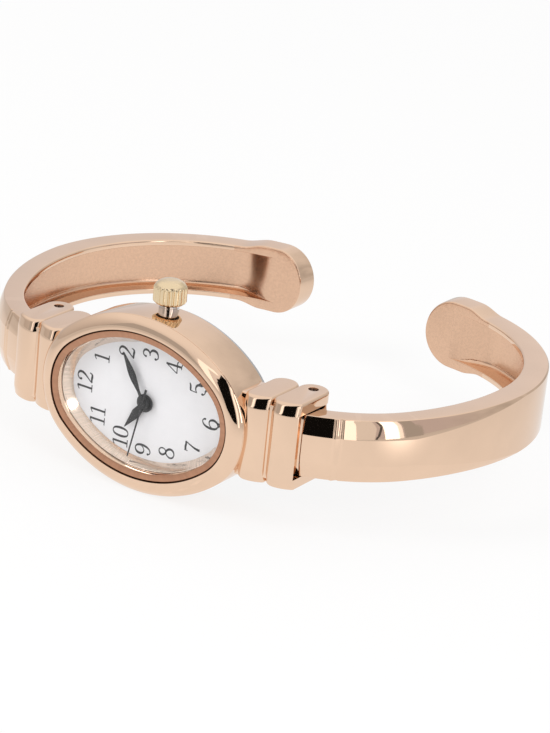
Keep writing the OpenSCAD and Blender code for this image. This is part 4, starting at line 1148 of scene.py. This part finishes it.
def inner_face(curve, face, mirror):
    """True for a face of the trough's floor or of the paddle's inner side."""
    x, y, z = (part / MM for part in face.center)
    x, y, middle = mirror * x, y + curve.s.dial_back, curve.side[0]
    arc = curve.front
    if y > middle[1]:
        arc = curve.back
    elif math.degrees(math.atan2(y - middle[1], x - middle[0])) > curve.bend:
        arc = curve.side
    inwards = Vector((mirror * (arc[0][0] - x), arc[0][1] - y, 0)).normalized()
    on_paddle = y > middle[1] and x < curve.neck_x
    return inwards.dot(face.normal) > 0.5 and (abs(z) < curve.trough - 0.1 or on_paddle)


class CUFFWATCH_OT_arms(Operator):
    """The two bangle arms with their knuckles"""

    bl_idname = "cuff_watch.arms"
    bl_label = "Arms"

    def execute(self, context):
        curve = ArmCurve(lengths(context))
        for name, mirror in SIDES:
            bangle = piece_from(f"{name}_bangle", arm_shape(curve, mirror))
            knuckle = piece_from(f"{name}_knuckle", merged(knuckle_shapes(curve, mirror)))
            for piece in (bangle, knuckle):
                dressed(context, piece, "Rose gold polished", f"{name}_arm")
            # Trough floors and the paddles' inner sides get the satin finish, whose darker colour is painted
            # shade.
            second_finish(context, bangle, "Rose gold satin",
                          lambda face, mirror=mirror: inner_face(curve, face, mirror))
        return {"FINISHED"}


# Hinges

def spring_path(s, side, turns):
    """Coil round the pin, after a straight leg towards the arm and with its last turn gripping the pin."""
    steps, r = 24, s.pin_d / 2
    coil_r, pitch, leg = r + s.spring_wire + 0.15, s.spring_wire + 0.12, 2.3
    grip_r = r + s.spring_wire / 2 + 0.03
    path = [(side * leg * t, -coil_r, -pitch * turns / 2) for t in (1.0, 0.75, 0.5, 0.25)]
    for i in range(steps * turns + 1):
        t = i / steps
        radius = coil_r - max(0.0, t - turns + 1) * (coil_r - grip_r)
        x, y = around((0, 0), radius, -90 - 360 * t)
        path.append((side * x, y, pitch * (t - turns / 2)))
    return [deep(s, side * s.hinge_x + x, s.hinge_y + y, z) for x, y, z in path]


class CUFFWATCH_OT_hinges(Operator):
    """Hinge pins and the coiled springs round them"""

    bl_idname = "cuff_watch.hinges"
    bl_label = "Hinge Pins and Springs"

    def execute(self, context):
        s, turns = lengths(context), context.scene.cuff_watch_details.spring_turns
        r, high = s.pin_d / 2, s.lug_height / 2 - 0.2
        end = [(r, high - 0.15), (r - 0.04, high - 0.04), (r - 0.15, high), (0.001, high)]
        profile = [(radius, -z) for radius, z in end[::-1]] + end
        for name, mirror in SIDES:
            pin = piece_from(f"{name}_pin", lathe(profile, wrist_round(s, mirror * s.hinge_x, s.hinge_y), 48))
            dressed(context, pin, "Bright steel", f"{name}_hinge_pin")
            # The pin's ends get a dark finish, a painted shade of the recessed hole above each end.
            second_finish(context, pin, "Pin end", lambda face: abs(face.center.z) > (high - 0.16) * MM)
            spring = piece_from(f"{name}_spring", tube(spring_path(s, mirror, turns), s.spring_wire / 2))
            dressed(context, spring, "Spring steel", f"{name}_hinge_spring")
        return {"FINISHED"}


# Case back and movement

class CUFFWATCH_OT_back(Operator):
    """Case back with a shallow groove round its brushed face"""

    bl_idname = "cuff_watch.back"
    bl_label = "Case Back"

    def execute(self, context):
        s = lengths(context)
        low, edge, groove, middle = -s.dial_back, -s.back_inset, 0.05, -s.back_inset - 2.2
        profile = [(middle, low), (edge - 1.15, low), (edge - 1.1, low + groove),
                   (edge - 1.0, low + groove), (edge - 0.95, low), (edge - 0.3, low),
                   (edge - 0.13, low + 0.05), (edge - 0.04, low + 0.15), (edge, low + 0.3),
                   (edge, low + s.back_thick), (middle, low + s.back_thick)]
        oval_plate(context, s, "back_plate", profile, "Back steel", "case_back")
        return {"FINISHED"}


SLOT_FINISHES = {
    "rose_gold": "Rose gold polished", "copper_ring": "Copper matt", "crystal_glass": "Clear glass",
    "dial_white": "Dial lacquer", "hand_black": "Hand lacquer", "crown_gold": "Crown gold",
    "steel": "Bright steel", "back_steel": "Back steel", "spring_steel": "Spring steel",
    "movement_brass": "Brass", "plate_nickel": "Nickel", "magnet": "Magnet", "coil_copper": "Copper wire",
    "board_green": "Board", "holder_plastic": "Holder plastic", "seal_rubber": "Seal rubber",
    "seal_clear": "Clear seal"}


class CUFFWATCH_OT_movement(Operator):
    """Materials of the movement, the keyless works and the gaskets"""

    bl_idname = "cuff_watch.movement"
    bl_label = "Movement and Gaskets"

    def execute(self, context):
        slots = {part["node"]: part["material_slot"] for part in frame["record"]["subparts"]}
        for name, node in frame["nodes"].items():
            material = finish_named(context, SLOT_FINISHES[slots[name]])
            if not node.material_slots:
                raise RuntimeError(f"{name} has no material slot")
            for place in node.material_slots:
                place.link = "OBJECT"
                place.material = material
        return {"FINISHED"}


# Stage

def direction(azimuth, elevation):
    """Unit vector for a direction in degrees; azimuth 0 is in front of the dial and 90 on the side of 6."""
    az, el = math.radians(azimuth), math.radians(elevation)
    return Vector((math.sin(az) * math.cos(el), -math.cos(az) * math.cos(el), math.sin(el)))


def card(name, outline, level, distance=CARD_DISTANCE):
    """Even card that only metal reflects; its outline is directions from the bezel's right end."""
    s = lengths(bpy.context)
    bezel_right = Vector(front(s, 10.0, 3.0, 2.0))
    material = bpy.data.materials.new(name)
    material.use_nodes = True
    tree = material.node_tree
    tree.nodes.clear()
    light = wired(tree, add(tree, "ShaderNodeEmission"), {"Color": (level, level, level, 1)})
    wired_end(tree, "ShaderNodeOutputMaterial", light)
    mesh = bpy.data.meshes.new(name)
    corners = [(bezel_right + direction(az, el) * distance) * MM for az, el in outline]
    mesh.from_pydata(corners, [], [range(len(corners))])
    mesh.materials.append(material)
    flat = linked(name, mesh)
    flat.visible_camera = flat.visible_diffuse = flat.visible_shadow = flat.visible_transmission = False


def wired_end(tree, kind, shader):
    """Output node of a material or world, fed by a shader."""
    tree.links.new(shader, add(tree, kind).inputs["Surface"])


def strip(name, path, width, level, distance=CARD_DISTANCE):
    """Upright card along a path of directions."""
    sides = [(az - width / 2, el) for az, el in path] + [(az + width / 2, el) for az, el in path[::-1]]
    card(name, sides, level, distance)


def area_lamp(name, centre, size, power):
    """Round soft lamp that points at the watch; metal doesn't mirror it."""
    watch = Vector((0, 10, 0))
    lamp = bpy.data.lights.new(name, "AREA")
    lamp.shape, lamp.size, lamp.energy = "DISK", size * MM, power
    holder = linked(name, lamp)
    holder.location = Vector(centre) * MM
    holder.visible_glossy = False
    holder.rotation_mode = "QUATERNION"
    holder.rotation_quaternion = (Vector(centre) - watch).to_track_quat("Z", "Y")


def white_floor():
    """Pale floor that keeps the watch's shadow; metal sees it fade outwards and glow near one arm."""
    level, half = CAD_BOX[0][2], 2
    material = bpy.data.materials.new("Floor")
    material.use_nodes = True
    tree = material.node_tree
    shader = tree.nodes["Principled BSDF"]
    wired(tree, shader, {"Base Color": (0.9, 0.9, 0.9, 1), "Roughness": 0.9, "Specular IOR Level": 0.0})
    rays = add(tree, "ShaderNodeLightPath").outputs
    straight = maths(tree, "MAXIMUM", rays["Is Camera Ray"], rays["Is Transmission Ray"])
    seen = maths(tree, "MAXIMUM", straight, rays["Is Glossy Ray"])
    place = millimetres(tree)
    fading = ranged(tree, vector_maths(tree, "LENGTH", place), 35.0, 110.0, 1.0, 0.6)
    away = vector_maths(tree, "DISTANCE", place, (59.0, -4.5, level / MM))
    glow = maths(tree, "POWER", ranged(tree, away, 1.0, 17.0, 1.0, 0.0), 2.0)
    lit = maths(tree, "ADD", fading, maths(tree, "MULTIPLY", glow, 1.8))
    mirrored_light = maths(tree, "MULTIPLY", lit, rays["Is Glossy Ray"])
    strength = maths(tree, "MAXIMUM", straight, mirrored_light)
    light = wired(tree, add(tree, "ShaderNodeEmission"), {"Strength": strength})
    sockets = {0: maths(tree, "MULTIPLY", seen, 0.8), 1: shader.outputs[0], 2: light}
    mixed = wired(tree, add(tree, "ShaderNodeMixShader"), sockets)
    tree.links.new(mixed, tree.nodes["Material Output"].inputs["Surface"])
    mesh = bpy.data.meshes.new("Floor")
    corners = [(x, y, level) for x, y in ((-half, -half), (half, -half), (half, half), (-half, half))]
    mesh.from_pydata(corners, [], [range(4)])
    mesh.materials.append(material)
    linked("Floor", mesh)


def pale_world():
    """White surroundings for the camera; metal sees them tinted, in four quarters below and white above."""
    def grey(*rgb):
        return (*rgb, 1)
    world = bpy.data.worlds.new("Studio")
    bpy.context.scene.world = world
    world.use_nodes = True
    tree = world.node_tree
    tree.nodes.clear()
    around_watch = add(tree, "ShaderNodeTexCoord").outputs["Generated"]
    place = axes(tree, around_watch)
    high = ranged(tree, place["Z"], 0.4, 0.85)
    aside = ranged(tree, maths(tree, "ABSOLUTE", place["X"]), 0.35, 0.85)
    behind = ranged(tree, place["Y"], 0.1, 0.6)
    rising = ranged(tree, place["Z"], -0.1, 0.65)
    clouds = ranged(tree, noise(tree, around_watch, 4.0, 3.0), 0.35, 0.65)
    back_left = blended(tree, aside, grey(0.88, 0.87, 0.89), grey(0.66, 0.66, 0.70))
    back_right = blended(tree, clouds, grey(0.54, 0.53, 0.52), grey(0.70, 0.69, 0.68))
    front_left = blended(tree, rising, grey(0.50, 0.48, 0.47), grey(0.98, 0.96, 0.95))
    front_right = blended(tree, aside, grey(0.88, 0.87, 0.89), grey(0.60, 0.57, 0.60))
    back_tint = blended(tree, ranged(tree, place["X"], -0.35, 0.0), back_left, back_right)
    front_tint = blended(tree, ranged(tree, place["X"], -0.25, 0.0), front_left, front_right)
    tint = blended(tree, high, blended(tree, behind, front_tint, back_tint), grey(1.0, 0.99, 0.98))
    rays = add(tree, "ShaderNodeLightPath").outputs
    straight = maths(tree, "MAXIMUM", rays["Is Camera Ray"], rays["Is Transmission Ray"])
    sky = {"Color": blended(tree, straight, tint, grey(1, 1, 1))}
    wired_end(tree, "ShaderNodeOutputWorld", wired(tree, add(tree, "ShaderNodeBackground"), sky))


def photo_camera():
    """Camera at the photograph's place, fitted to the watch's edges."""
    target, distance, roll = Vector((3.506, 13.4, 0.026)), 296.18, math.radians(5.854)
    azimuth, elevation, focal_pixels, frame_pixels, sensor = 31.387, 20.731, 2791.76, 733, 36.0
    away, level = direction(azimuth, elevation), direction(azimuth + 90, 0)
    up = away.cross(level)
    right = level * math.cos(roll) + up * math.sin(roll)
    top = up * math.cos(roll) - level * math.sin(roll)
    camera = linked("Camera", bpy.data.cameras.new("Camera"))
    turned = Matrix((right, top, away)).transposed().to_4x4()
    turned.translation = (target + away * distance) * MM
    camera.matrix_world = turned
    camera.data.sensor_width, camera.data.lens = sensor, sensor * focal_pixels / frame_pixels
    camera.data.clip_start, camera.data.clip_end = 0.01, 10
    bpy.context.scene.camera = camera


class CUFFWATCH_OT_stage(Operator):
    """Floor, white surroundings, lamps, cards and the camera"""

    bl_idname = "cuff_watch.stage"
    bl_label = "Stage"

    def execute(self, context):
        context.scene.view_settings.view_transform = "Standard"
        white_floor()
        pale_world()
        area_lamp("Lamp left", (-260, -260, 260), 180, 0.45)
        area_lamp("Lamp right", (300, -160, 220), 140, 0.3)
        dark_outline = [
            (-4, -12), (4, -12), (8, -9), (28, -8), (42, -7), (42, 18), (45, 30), (50, 38), (57, 48),
            (58, 54), (44, 55), (34, 49), (22, 40), (15, 34), (10, 30), (7, 24), (3, 20), (-1, 10), (-3, 0)]
        card("Card camera", dark_outline, 0.005, 90)
        left_path = [(-13, -16), (-12, 0), (-9, 10), (-5, 20), (-1, 30), (8, 36), (17, 41), (24, 45)]
        strip("Card lamp left", left_path, 8, 1.5)
        strip("Card front", [(48, -8), (50, 12), (46, 33)], 24, 0.85)
        strip("Card lamp front", [(53, -16), (52, 10), (51, 24), (54, 32), (59, 38), (64, 44)], 9, 1.6, 75)
        strip("Card lamp right", [(73.5, -7), (72, 12), (68, 34)], 10, 2.4)
        strip("Card lamp edge", [(80, -7), (78.5, 12), (74.5, 34)], 3, 1.3)
        strip("Card dip", [(87, -7), (85.5, 12), (81, 34)], 9, 0.45)
        strip("Card gap", [(59, -8), (63.5, 3), (65.5, 14), (63, 25), (58, 33)], 1.8, 0.1)
        strip("Card shade left", [(-30, -24), (-30, 0), (-28, 22)], 26, 0.5)
        photo_camera()
        return {"FINISHED"}


STEPS = (CUFFWATCH_OT_case, CUFFWATCH_OT_bezel, CUFFWATCH_OT_crystal, CUFFWATCH_OT_dial, CUFFWATCH_OT_hands,
         CUFFWATCH_OT_crown, CUFFWATCH_OT_arms, CUFFWATCH_OT_hinges, CUFFWATCH_OT_back, CUFFWATCH_OT_movement,
         CUFFWATCH_OT_stage)


class CUFFWATCH_PT_steps(Panel):
    """Lists the steps that dress the watch, with its time, counts and finishes"""

    bl_idname = "CUFFWATCH_PT_steps"
    bl_label = "Cuff Watch"
    bl_space_type = "VIEW_3D"
    bl_region_type = "UI"
    bl_category = "Cuff Watch"

    def draw(self, context):
        for step in STEPS:
            self.layout.operator(step.bl_idname)
        for group in (context.scene.cuff_watch_details, context.scene.cuff_watch_finishes):
            for name in group.__annotations__:
                self.layout.prop(group, name)


GROUPS = (("cuff_watch_sizes", WatchSizes), ("cuff_watch_details", WatchDetails),
          ("cuff_watch_finishes", WatchFinishes))


def register():
    for name, group in GROUPS:
        bpy.utils.register_class(group)
        setattr(bpy.types.Scene, name, PointerProperty(type=group))
    for step in STEPS:
        bpy.utils.register_class(step)
    bpy.utils.register_class(CUFFWATCH_PT_steps)


def unregister():
    bpy.utils.unregister_class(CUFFWATCH_PT_steps)
    for step in reversed(STEPS):
        bpy.utils.unregister_class(step)
    for name, group in reversed(GROUPS):
        delattr(bpy.types.Scene, name)
        bpy.utils.unregister_class(group)


def main():
    register()
    for step in STEPS:
        area, name = step.bl_idname.split(".")
        getattr(getattr(bpy.ops, area), name)()


if __name__ == "__main__":
    main()
